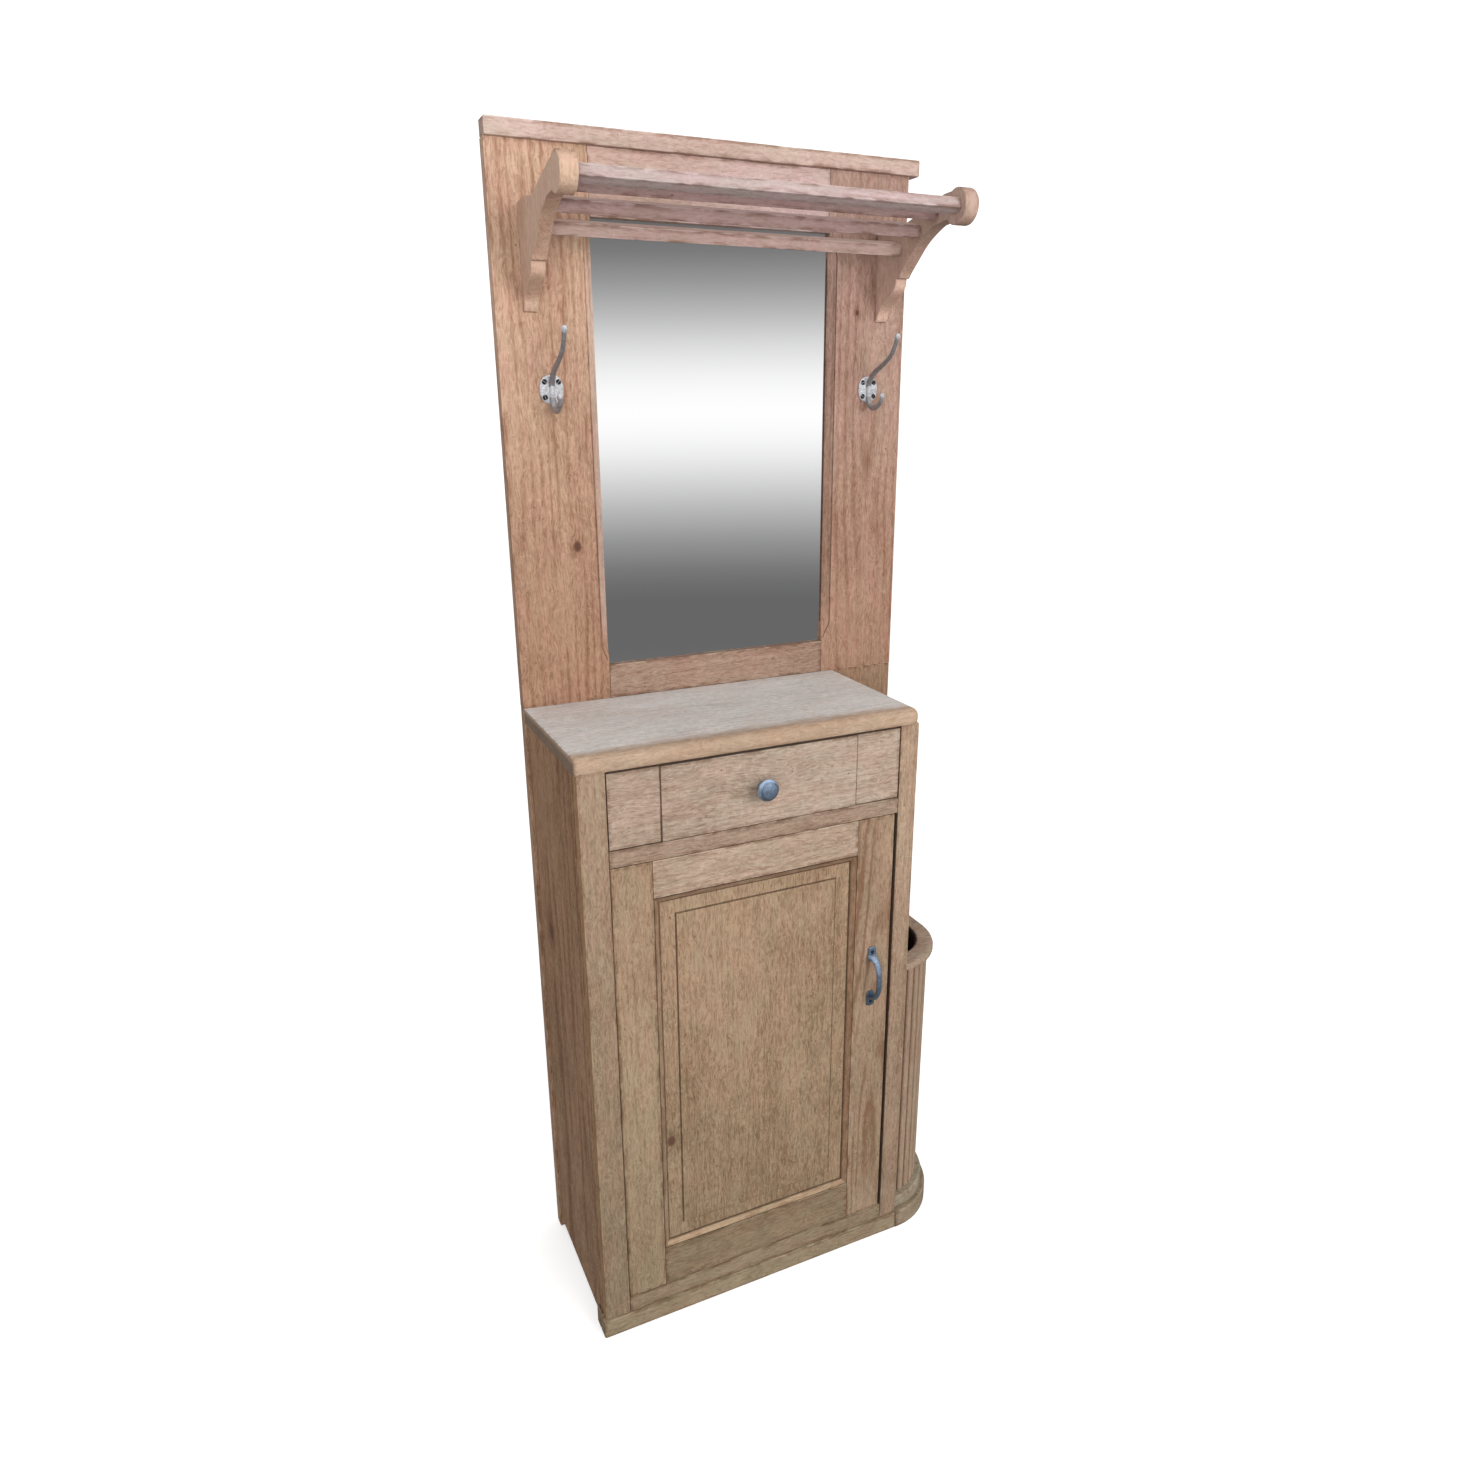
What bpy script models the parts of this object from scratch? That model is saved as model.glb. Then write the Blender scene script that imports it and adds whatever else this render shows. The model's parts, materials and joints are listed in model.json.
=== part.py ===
"""A narrow oak hall tree with a mirror, a hat rack, two coat hooks, a cabinet and an umbrella stand.

Lengths are metres. Sizes below count x from the left edge, y from the front face of the back panel
(the room is on the minus side) and z from the floor. put() moves everything so that the origin is
at the middle of the base. The door turns and the drawer slides; all the rest is fixed.
"""

import math

import bmesh
import bpy
from mathutils import Matrix, Vector

# Overall
HEIGHT = 1.900
CAP_WIDTH = 0.722
PANEL_WIDTH = 0.704
PANEL_THICK = 0.0225
HANDLE_REACH = 0.031
GAP = 0.0003
ARRIS = 0.0008

# Upper frame and mirror
SPLIT_Z = 1.048
CAP_THICK = 0.024
CAP_OVERHANG = 0.008
STILE_WIDTH = 0.149
MIRROR_LOW_Z = 1.105
MIRROR_HIGH_Z = 1.783
REBATE_Y = 0.008
REBATE_LAP = 0.009
GLASS_THICK = 0.004
BACKING_THICK = 0.005
CHAMFER_WIDTH = 0.014
CHAMFER_DEPTH = 0.0045
CHAMFER_STOP = 0.030

# Cabinet
FACE_Y = -0.274
BOARD_THICK = 0.020
BACK_FACE_Y = FACE_Y + BOARD_THICK
SIDE_LEFT_X = 0.005
SIDE_RIGHT_X = 0.5845
OPENING_LEFT_X = 0.048
OPENING_RIGHT_X = 0.550
SIDE_LOW_Z = 0.012
PLINTH_HIGH_Z = 0.035
FLOOR_HIGH_Z = 0.0655
RAIL_LOW_Z = 0.8685
RAIL_HIGH_Z = 0.8955
COUNTER_LOW_Z = 1.0215
COUNTER_WIDTH = 0.5805
COUNTER_FRONT_Y = -0.282
COUNTER_CORNER = 0.012
PLINTH_FRONT_Y = -0.278
PLINTH_RETURN_Y = -0.235

# Door
DOOR_REVEAL = 0.0008
DOOR_RIGHT_X = 0.5445
DOOR_STILE_WIDTH = 0.067
DOOR_TOP_RAIL = 0.062
DOOR_BOTTOM_RAIL = 0.076
BEAD_WIDTH = 0.011
BEAD_DEPTH = 0.0074
FIELD_MARGIN_X = 0.026
FIELD_MARGIN_Z = 0.0245
FIELD_RAISE = 0.0022
PIVOT_INSET = 0.0042
PIN_RADIUS = 0.0020
PIN_LENGTH = 0.018
HANDLE_X = 0.509
HANDLE_Z = 0.571
HANDLE_LENGTH = 0.115
SCREW_SPACING = 0.097

# Drawer
DRAWER_REVEAL = 0.001
DRAWER_TOP_GAP = 0.003
DRAWER_FIELD_LEFT = 0.131
DRAWER_FIELD_RIGHT = 0.468
DRAWER_FIELD_RAISE = 0.0025
DRAWER_SIDE_THICK = 0.010
DRAWER_BACK_Y = -0.022
DRAWER_BOX_HIGH_Z = 1.004
KNOB_RADIUS = 0.018
KNOB_X = 0.298
KNOB_Z = 0.958

# Umbrella stand: its plan is a quarter circle and then a straight run back to the panel
STAND_X = 0.590
STAND_Y = -0.155
STAND_START_X = 0.5850
STAND_RADIUS = 0.100
STAND_WALL = 0.014
STAND_LOW_Z = 0.060
STAND_HIGH_Z = 0.553
STAND_PLINTH_RADIUS = 0.1195
STAND_BASE_RADIUS = 0.1125
RIM_RADIUS = 0.110
RIM_INNER_RADIUS = 0.076
RIM_HIGH_Z = 0.570
REED_COUNT = 18
REED_DEPTH = 0.0030

# Hat rack
BRACKET_THICK = 0.0215
BRACKET_LEFT_X = 0.0415
BRACKET_RIGHT_X = 0.6465
BRACKET_TOP_Z = 1.795
DISC_Y = -0.2115
DISC_Z = 1.7952
DISC_RADIUS = 0.0255
DISC_PROUD = 0.003
SLAT_HEIGHT = 0.0175

# Coat hooks
HOOK_LEFT_X = 0.0765
HOOK_RIGHT_X = 0.6355
HOOK_Z = 1.5415
HOOK_PLATE_WIDTH = 0.038
HOOK_PLATE_HEIGHT = 0.042
HOOK_PLATE_THICK = 0.0035

ORIGIN = Vector((CAP_WIDTH / 2, (PANEL_THICK + FACE_Y - HANDLE_REACH) / 2, 0))
DOOR_AXIS = (OPENING_LEFT_X + DOOR_REVEAL + PIVOT_INSET, FACE_Y + PIVOT_INSET, FLOOR_HIGH_Z)
DRAWER_AXIS = (KNOB_X, FACE_Y, RAIL_HIGH_Z)

# Finish name: base colour, roughness, metallic
FINISHES = {
    "oak_upper": ((0.52, 0.36, 0.25), 0.62, 0.0),
    "oak_cabinet": ((0.42, 0.31, 0.20), 0.65, 0.0),
    "oak_counter": ((0.47, 0.40, 0.31), 0.60, 0.0),
    "oak_inside": ((0.50, 0.40, 0.28), 0.70, 0.0),
    "mirror_silver": ((0.90, 0.91, 0.92), 0.03, 1.0),
    "backing": ((0.35, 0.27, 0.19), 0.80, 0.0),
    "hook_iron": ((0.36, 0.36, 0.36), 0.45, 0.9),
    "pull_iron": ((0.16, 0.18, 0.21), 0.45, 0.9),
    "steel": ((0.55, 0.55, 0.56), 0.35, 1.0),
}
FACING_ROOM = (math.pi / 2, 0, 0)
SIDE_ON = (math.pi / 2, 0, math.pi / 2)


# ---------------------------------------------------------------- helpers


def clear_scene():
    for obj in list(bpy.data.objects):
        bpy.data.objects.remove(obj, do_unlink=True)


def new_collection(name):
    made = bpy.data.collections.new(name)
    bpy.context.scene.collection.children.link(made)
    return made


def make_material(name, finish):
    colour, roughness, metallic = FINISHES[finish]
    made = bpy.data.materials.new(f"{name}_{finish}")
    made.use_nodes = True
    shader = made.node_tree.nodes["Principled BSDF"]
    shader.inputs["Base Color"].default_value = (*colour, 1)
    shader.inputs["Roughness"].default_value = roughness
    shader.inputs["Metallic"].default_value = metallic
    return made


def put(name, data, finish, place, rotation=(0, 0, 0), axis=None):
    """A part at a place given in the layout's own measures, held by a joint's empty if it moves."""
    obj = bpy.data.objects.new(name, data)
    obj.location = Vector(place) - ORIGIN
    obj.rotation_euler = rotation
    if axis:
        obj.parent = axis
        obj.location -= axis.location
    data.materials.append(make_material(name, finish))
    PARTS.objects.link(obj)
    return obj


def ease(obj, width, segments=1):
    """Round the edges slightly, as a plane or a file leaves them."""
    bevel = obj.modifiers.new("eased edges", "BEVEL")
    bevel.width = width
    bevel.segments = segments
    bevel.limit_method = "ANGLE"
    bevel.angle_limit = math.radians(40)
    return obj


def box_mesh(name, size):
    shape = bmesh.new()
    bmesh.ops.create_cube(shape, size=1)
    bmesh.ops.scale(shape, vec=size, verts=shape.verts)
    mesh = bpy.data.meshes.new(name)
    shape.to_mesh(mesh)
    shape.free()
    return mesh


def board(name, low, high, finish, arris=ARRIS, segments=1, axis=None):
    """A sawn board between two corners."""
    low, high = Vector(low), Vector(high)
    obj = put(name, box_mesh(name, high - low), finish, (low + high) / 2, axis=axis)
    return ease(obj, arris, segments)


def outline_curve(name, points, thickness):
    curve = bpy.data.curves.new(name, "CURVE")
    curve.dimensions = "2D"
    curve.fill_mode = "BOTH"
    curve.extrude = thickness / 2
    spline = curve.splines.new("POLY")
    spline.points.add(len(points) - 1)
    for point, (u, v) in zip(spline.points, points):
        point.co = (u, v, 0, 1)
    spline.use_cyclic_u = True
    return curve


def weld(obj):
    welded = obj.modifiers.new("welded caps", "WELD")
    welded.merge_threshold = 0.00001
    return obj


def plan_piece(name, points, low_z, high_z, finish, axis=None):
    """A piece with this plan, from one height to another."""
    curve = outline_curve(name, points, high_z - low_z)
    return weld(put(name, curve, finish, (0, 0, (low_z + high_z) / 2), axis=axis))


def solid_mesh(obj):
    """The object's evaluated shape as a closed mesh in world space; the object is removed."""
    bpy.context.view_layer.update()
    graph = bpy.context.evaluated_depsgraph_get()
    mesh = bpy.data.meshes.new_from_object(obj.evaluated_get(graph))
    mesh.transform(obj.matrix_world)
    bpy.data.objects.remove(obj, do_unlink=True)
    shape = bmesh.new()
    shape.from_mesh(mesh)
    bmesh.ops.remove_doubles(shape, verts=shape.verts, dist=0.00001)
    bmesh.ops.recalc_face_normals(shape, faces=shape.faces)
    shape.to_mesh(mesh)
    shape.free()
    return mesh


def plan_block(name, points, low_z, high_z, finish, axis=None):
    """The same as plan_piece, but a mesh, which can be cut."""
    shape = bpy.data.objects.new(name, outline_curve(name, points, high_z - low_z))
    shape.location = (0, 0, (low_z + high_z) / 2)
    CUTTERS.objects.link(shape)
    return put(name, solid_mesh(shape), finish, (0, 0, 0), axis=axis)


def loose(mesh, matrix=None):
    """A helper object that only feeds a Boolean."""
    obj = bpy.data.objects.new(mesh.name, mesh)
    obj.matrix_world = matrix or Matrix()
    CUTTERS.objects.link(obj)
    obj.hide_render = True
    obj.display_type = "WIRE"
    return obj


def boolean(obj, other, operation):
    change = obj.modifiers.new(operation.lower(), "BOOLEAN")
    change.operation = operation
    change.solver = "EXACT"
    change.object = other


def cut_box(obj, low, high):
    low, high = Vector(low), Vector(high)
    cutter = loose(box_mesh(f"cut_{obj.name}", high - low))
    cutter.location = (low + high) / 2 - ORIGIN
    boolean(obj, cutter, "DIFFERENCE")


def cut_plan(obj, points, low_z, high_z):
    curve = outline_curve(f"cut_{obj.name}", points, high_z - low_z)
    shape = bpy.data.objects.new("cutter", curve)
    shape.location = Vector((0, 0, (low_z + high_z) / 2)) - ORIGIN
    CUTTERS.objects.link(shape)
    boolean(obj, loose(solid_mesh(shape)), "DIFFERENCE")


def cylinder_mesh(name, radius, low_z, high_z, sides=20):
    shape = bmesh.new()
    bmesh.ops.create_cone(
        shape,
        cap_ends=True,
        segments=sides,
        radius1=radius,
        radius2=radius,
        depth=high_z - low_z,
        matrix=Matrix.Translation((0, 0, (low_z + high_z) / 2)),
    )
    mesh = bpy.data.meshes.new(name)
    shape.to_mesh(mesh)
    shape.free()
    return mesh


def cut_pin_hole(obj, low_z, high_z):
    cutter = loose(cylinder_mesh(f"cut_{obj.name}", PIN_RADIUS + GAP, low_z, high_z))
    cutter.location = Vector((DOOR_AXIS[0], DOOR_AXIS[1], 0)) - ORIGIN
    boolean(obj, cutter, "DIFFERENCE")


def sphere(radius, place):
    shape = bmesh.new()
    bmesh.ops.create_uvsphere(shape, u_segments=12, v_segments=8, radius=radius)
    mesh = bpy.data.meshes.new("ball")
    shape.to_mesh(mesh)
    shape.free()
    return loose(mesh, Matrix.Translation(place))


def block(size, place):
    return loose(box_mesh("block", size), Matrix.Translation(place))


def smooth_path(points, steps=4):
    """A Catmull-Rom curve through the points."""
    points = [Vector(p) for p in points]
    ends = [2 * points[0] - points[1], *points, 2 * points[-1] - points[-2]]
    path = []
    for a, b, c, d in zip(ends, ends[1:], ends[2:], ends[3:]):
        for step in range(steps):
            t = step / steps
            bend = (2 * a - 5 * b + 4 * c - d) * t**2 + (3 * b - a - 3 * c + d) * t**3
            path.append(0.5 * (2 * b + (c - a) * t + bend))
    return [*path, points[-1]]


def tube(points, start_radius, end_radius):
    """A round bar along a smooth path, tapering from one end to the other."""
    path = smooth_path(points)
    curve = bpy.data.curves.new("tube", "CURVE")
    curve.dimensions = "3D"
    curve.bevel_depth = start_radius
    curve.bevel_resolution = 2
    curve.use_fill_caps = True
    spline = curve.splines.new("POLY")
    spline.points.add(len(path) - 1)
    taper = end_radius / start_radius - 1
    for index, (point, place) in enumerate(zip(spline.points, path)):
        point.co = (*place, 1)
        point.radius = 1 + taper * index / (len(path) - 1)
    obj = bpy.data.objects.new("tube", curve)
    CUTTERS.objects.link(obj)
    return loose(solid_mesh(obj))


def fused(pieces):
    """One mesh from solids that overlap, cut off flat at the face y=0 that it is screwed to."""
    body, *others = pieces
    for other in others:
        boolean(body, other, "UNION")
    wall = block((0.2, 0.1, 0.3), (0, 0.05, 0))
    boolean(body, wall, "DIFFERENCE")
    mesh = solid_mesh(body)
    for other in [*others, wall]:
        bpy.data.objects.remove(other, do_unlink=True)
    mesh.shade_smooth()
    mesh.set_sharp_from_angle(angle=math.radians(40))
    return mesh


def arc(centre, radius, start, end, steps):
    """Points on a circle between two angles in degrees, anticlockwise from the first axis."""
    turns = (math.radians(start + (end - start) * i / steps) for i in range(steps + 1))
    return [(centre[0] + radius * math.cos(t), centre[1] + radius * math.sin(t)) for t in turns]


# ---------------------------------------------------------------- upper frame


def upper_frame():
    left_x = STILE_WIDTH
    right_x = PANEL_WIDTH - STILE_WIDTH
    top_z = HEIGHT - CAP_THICK
    bottom_z = SPLIT_Z + GAP
    for name, x0, x1 in (
        ("upper_left_stile", 0, left_x),
        ("upper_right_stile", right_x, PANEL_WIDTH),
    ):
        stile = board(name, (x0, 0, bottom_z), (x1, PANEL_THICK, top_z), "oak_upper")
        cut_mirror_rebate(stile)
        cut_stop_chamfer(stile, left_x if x0 == 0 else right_x, -1 if x0 == 0 else 1)
    for name, z0, z1 in (
        ("upper_bottom_rail", bottom_z, MIRROR_LOW_Z),
        ("upper_top_rail", MIRROR_HIGH_Z, top_z),
    ):
        low = (left_x + GAP, 0, z0)
        high = (right_x - GAP, PANEL_THICK, z1)
        cut_mirror_rebate(board(name, low, high, "oak_upper"))


def cut_mirror_rebate(obj):
    low = (STILE_WIDTH - REBATE_LAP, REBATE_Y, MIRROR_LOW_Z - REBATE_LAP)
    high = (PANEL_WIDTH - STILE_WIDTH + REBATE_LAP, 2 * PANEL_THICK, MIRROR_HIGH_Z + REBATE_LAP)
    cut_box(obj, low, high)


def cut_stop_chamfer(stile, edge_x, side):
    """A long bevel on the arris beside the glass, stopped short of both rails."""
    over = 0.001
    slope = CHAMFER_DEPTH / CHAMFER_WIDTH
    reach = CHAMFER_WIDTH + over / slope
    inner = edge_x - side * over
    points = [
        (inner, -over),
        (inner + side * (reach + over), -over),
        (inner, CHAMFER_DEPTH + over * slope),
    ]
    cut_plan(stile, points, MIRROR_LOW_Z + CHAMFER_STOP, MIRROR_HIGH_Z - CHAMFER_STOP)


def mirror():
    inset = REBATE_LAP - 0.001
    x0 = STILE_WIDTH - inset
    x1 = PANEL_WIDTH - STILE_WIDTH + inset
    z0 = MIRROR_LOW_Z - inset
    z1 = MIRROR_HIGH_Z + inset
    glass_y = REBATE_Y + GAP
    back_y = glass_y + GLASS_THICK
    board("mirror_glass", (x0, glass_y, z0), (x1, back_y, z1), "mirror_silver", 0.0005)
    board_y = back_y + GAP
    board("mirror_backing", (x0, board_y, z0), (x1, board_y + BACKING_THICK, z1), "backing", 0.0005)


def cap():
    low = (0, -CAP_OVERHANG, HEIGHT - CAP_THICK + GAP)
    board("cap_board", low, (CAP_WIDTH, PANEL_THICK, HEIGHT), "oak_upper", 0.004, 2)


# ---------------------------------------------------------------- hat rack


def bracket_outline():
    """The bracket seen from its side, as (y, z): flat top, scooped neck, round end, stepped foot."""
    scoop = [(-0.062, 1.7925), (-0.071, 1.7855), (-0.080, 1.7835), (-0.090, 1.7860)]
    crest = [(-0.120, 1.7970), (-0.150, 1.8065), (-0.180, 1.8160)]
    nose = arc((DISC_Y, DISC_Z), DISC_RADIUS - 0.0005, 70, 322, 16)
    belly = [(-0.161, 1.7770), (-0.136, 1.7670), (-0.115, 1.7550), (-0.094, 1.7375), (-0.073, 1.7190)]
    step = [(-0.067, 1.7120), (-0.060, 1.7120)]
    foot = [(-0.059, 1.7030), (-0.052, 1.6930), (-0.038, 1.6840), (-0.020, 1.6750), (-0.008, 1.6660)]
    back = [(-GAP, 1.6550), (-GAP, BRACKET_TOP_Z), (-0.055, BRACKET_TOP_Z)]
    return [*back, *scoop, *crest, *nose, *belly, *step, *foot]


def bracket(name, x, side):
    """A shaped board whose round nose stands a little proud on the outer side."""
    profile = bpy.data.objects.new("profile", outline_curve(name, bracket_outline(), BRACKET_THICK))
    profile.rotation_euler = SIDE_ON
    CUTTERS.objects.link(profile)
    shaped = put(name, solid_mesh(profile), "oak_upper", (x + BRACKET_THICK / 2, 0, 0))
    disc = cylinder_mesh("disc", DISC_RADIUS, -BRACKET_THICK / 2, BRACKET_THICK / 2 + DISC_PROUD, 32)
    disc = loose(disc)
    disc.rotation_euler = (0, side * math.pi / 2, 0)
    disc.location = Vector((x + BRACKET_THICK / 2, DISC_Y, DISC_Z)) - ORIGIN
    boolean(shaped, disc, "UNION")
    ease(shaped, 0.0012)


def rack():
    bracket("rack_bracket_left", BRACKET_LEFT_X, -1)
    bracket("rack_bracket_right", BRACKET_RIGHT_X, 1)
    # Front to back: middle of the bar (y, z), depth and tilt in degrees
    bars = (
        (-0.2165, 1.7947, 0.0175, -25),
        (-0.1560, 1.7950, 0.0300, 17),
        (-0.1107, 1.7768, 0.0300, 17),
        (-0.0612, 1.7563, 0.0300, 17),
    )
    inner_x = BRACKET_LEFT_X + BRACKET_THICK + GAP
    length = BRACKET_RIGHT_X - GAP - inner_x
    for number, (y, z, depth, tilt) in enumerate(bars, 1):
        name = f"rack_slat_{number}"
        mesh = box_mesh(name, (length, depth, SLAT_HEIGHT))
        place = (inner_x + length / 2, y, z)
        ease(put(name, mesh, "oak_upper", place, (math.radians(tilt), 0, 0)), 0.0015)


# ---------------------------------------------------------------- coat hooks


def hook_mesh():
    """Screw plate, rib, long upper arm and short curled lower arm; y=0 is the wall face."""
    thick = HOOK_PLATE_THICK
    plate = block((HOOK_PLATE_WIDTH, thick, HOOK_PLATE_HEIGHT), (0, -thick / 2, 0))
    ease(plate, 0.009, 3)
    plate.modifiers[0].affect = "EDGES"
    plate.modifiers[0].limit_method = "WEIGHT"
    corner_weights(plate.data)
    rib = block((0.009, 0.006, HOOK_PLATE_HEIGHT - 0.003), (0, -thick - 0.0015, 0))
    upper = [(0, -0.004, 0.010), (0, -0.020, 0.0255), (0, -0.045, 0.0375), (0, -0.068, 0.050)]
    upper_tip = (0, -0.0875, 0.0800)
    upper += [(0, -0.081, 0.065), upper_tip]
    lower = [(0, -0.004, -0.012), (0, -0.010, -0.0255), (0, -0.0215, -0.0305)]
    lower_tip = (0, -0.0475, -0.0105)
    lower += [(0, -0.036, -0.0270), (0, -0.045, -0.0200), lower_tip]
    pieces = [
        plate,
        rib,
        tube(upper, 0.0043, 0.0030),
        sphere(0.0055, upper_tip),
        tube(lower, 0.0043, 0.0032),
        sphere(0.0048, lower_tip),
    ]
    for x in (-0.0115, 0.0115):
        for z in (-0.0115, 0.0115):
            pieces.append(sphere(0.0042, (x, -thick + 0.0018, z)))
    return fused(pieces)


def corner_weights(mesh):
    """Mark the four edges that run through the plate, so that only its corners are rounded."""
    weights = mesh.attributes.new("bevel_weight_edge", "FLOAT", "EDGE")
    for edge in mesh.edges:
        a, b = (mesh.vertices[i].co for i in edge.vertices)
        weights.data[edge.index].value = 1.0 if abs(a.y - b.y) > 0.001 else 0.0


def hooks():
    mesh = hook_mesh()
    for name, x in (("left", HOOK_LEFT_X), ("right", HOOK_RIGHT_X)):
        put(f"coat_hook_{name}", mesh.copy(), "hook_iron", (x, -GAP, HOOK_Z))


# ---------------------------------------------------------------- cabinet carcass


def carcass():
    top_z = COUNTER_LOW_Z - GAP
    inner_y = BACK_FACE_Y + GAP
    board("lower_back_board", (0, 0, 0), (PANEL_WIDTH, PANEL_THICK, SPLIT_Z), "oak_cabinet")
    for name, x in (("left", SIDE_LEFT_X), ("right", SIDE_RIGHT_X - BOARD_THICK)):
        low = (x, inner_y, SIDE_LOW_Z)
        board(f"side_panel_{name}", low, (x + BOARD_THICK, -GAP, top_z), "oak_cabinet")
    stile_z = PLINTH_HIGH_Z + GAP
    low = (SIDE_LEFT_X, FACE_Y, stile_z)
    high = (OPENING_LEFT_X, BACK_FACE_Y, top_z)
    board("front_stile_left", low, high, "oak_cabinet")
    low = (OPENING_RIGHT_X, FACE_Y, stile_z)
    high = (SIDE_RIGHT_X, BACK_FACE_Y, top_z)
    board("front_stile_right", low, high, "oak_cabinet")
    rail_x0 = OPENING_LEFT_X + GAP
    rail_x1 = OPENING_RIGHT_X - GAP
    low = (rail_x0, FACE_Y, RAIL_LOW_Z)
    high = (rail_x1, BACK_FACE_Y, RAIL_HIGH_Z)
    drawer_rail = board("drawer_rail", low, high, "oak_cabinet")
    cut_pin_hole(drawer_rail, RAIL_LOW_Z - 0.002, RAIL_LOW_Z + PIN_LENGTH / 2 + GAP)
    low = (rail_x0, FACE_Y, stile_z)
    high = (rail_x1, BACK_FACE_Y, FLOOR_HIGH_Z)
    bottom_rail = board("bottom_rail", low, high, "oak_cabinet")
    cut_pin_hole(bottom_rail, FLOOR_HIGH_Z - PIN_LENGTH / 2 - GAP, FLOOR_HIGH_Z + 0.002)


def carcass_inside():
    inner_y = BACK_FACE_Y + GAP
    x0 = SIDE_LEFT_X + BOARD_THICK + GAP
    x1 = SIDE_RIGHT_X - BOARD_THICK - GAP
    low = (x0, inner_y, FLOOR_HIGH_Z - 0.018)
    board("cabinet_floor", low, (x1, -GAP, FLOOR_HIGH_Z), "oak_inside")
    runner_reach = 0.034
    for name, a, b in (("left", x0, x0 + runner_reach), ("right", x1 - runner_reach, x1)):
        low = (a, inner_y, RAIL_LOW_Z)
        board(f"drawer_runner_{name}", low, (b, -GAP, RAIL_HIGH_Z), "oak_inside")
    low = (0.500, inner_y, RAIL_LOW_Z - 0.020)
    high = (0.528, inner_y + 0.020, RAIL_LOW_Z - GAP)
    board("door_stop", low, high, "oak_inside")


def counter():
    corner = (COUNTER_WIDTH - COUNTER_CORNER, COUNTER_FRONT_Y + COUNTER_CORNER)
    rounded = arc(corner, COUNTER_CORNER, -90, 0, 5)
    points = [(0, -GAP), (0, COUNTER_FRONT_Y), *rounded, (COUNTER_WIDTH, -GAP)]
    top = plan_piece("counter_top", points, COUNTER_LOW_Z, SPLIT_Z, "oak_counter")
    ease(top, 0.005, 2)


def plinth():
    high_z = PLINTH_HIGH_Z
    low = (0, PLINTH_FRONT_Y, 0)
    high = (STAND_START_X - GAP, BACK_FACE_Y, high_z)
    board("plinth_front", low, high, "oak_cabinet", 0.002)
    low = (0, BACK_FACE_Y + GAP, 0)
    high = (SIDE_LEFT_X - GAP, PLINTH_RETURN_Y, high_z)
    board("plinth_return", low, high, "oak_cabinet")


# ---------------------------------------------------------------- umbrella stand


def stand_point(along, radius, front_radius=None):
    """A point of the stand's plan, this far along its centre line and this far out."""
    lead = STAND_X - STAND_START_X
    bend = STAND_RADIUS * math.pi / 2
    front = front_radius or radius
    if along <= lead:
        return (STAND_START_X + along, STAND_Y - front)
    if along < lead + bend:
        turn = (along - lead) / STAND_RADIUS
        return (STAND_X + radius * math.sin(turn), STAND_Y - front * math.cos(turn))
    return (STAND_X + radius, STAND_Y + along - lead - bend)


def stand_length():
    return STAND_X - STAND_START_X + STAND_RADIUS * math.pi / 2 - STAND_Y - GAP


def stand_line(radius, front_radius=None, steps=9):
    """The plan's line at one radius, from the cabinet's side round to the back panel."""
    lead = STAND_X - STAND_START_X
    bend = STAND_RADIUS * math.pi / 2
    stations = [0, *(lead + bend * i / steps for i in range(steps + 1)), stand_length()]
    return [stand_point(along, radius, front_radius) for along in stations]


def reeded_line():
    """The outside of the body: rounded reeds side by side, with a sharp groove between them."""
    pitch = stand_length() / REED_COUNT
    line = []
    for reed in range(REED_COUNT):
        for across in (-1.0, -0.72, -0.25, 0.25, 0.72):
            drop = REED_DEPTH * across**4
            line.append(stand_point((reed + 0.5 + across / 2) * pitch, STAND_RADIUS - drop))
    line.append(stand_point(stand_length(), STAND_RADIUS - REED_DEPTH))
    return line


def umbrella_stand():
    corner = (STAND_START_X, -GAP)
    front = STAND_Y - PLINTH_FRONT_Y
    points = [*stand_line(STAND_PLINTH_RADIUS, front), corner]
    plinth_piece = plan_piece("umbrella_plinth", points, 0, PLINTH_HIGH_Z, "oak_cabinet")
    ease(plinth_piece, 0.002)
    points = [*stand_line(STAND_BASE_RADIUS), corner]
    low_z = PLINTH_HIGH_Z + GAP
    base = plan_piece("umbrella_base", points, low_z, STAND_LOW_Z - GAP, "oak_cabinet")
    ease(base, 0.003)
    inner = stand_line(STAND_RADIUS - STAND_WALL)
    points = [*reeded_line(), *reversed(inner)]
    plan_piece("umbrella_shell", points, STAND_LOW_Z, STAND_HIGH_Z - GAP, "oak_cabinet")
    points = [*stand_line(RIM_RADIUS), *reversed(stand_line(RIM_INNER_RADIUS))]
    rim = plan_piece("umbrella_rim", points, STAND_HIGH_Z, RIM_HIGH_Z, "oak_cabinet")
    ease(rim, 0.004, 2)


# ---------------------------------------------------------------- drawer


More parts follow.
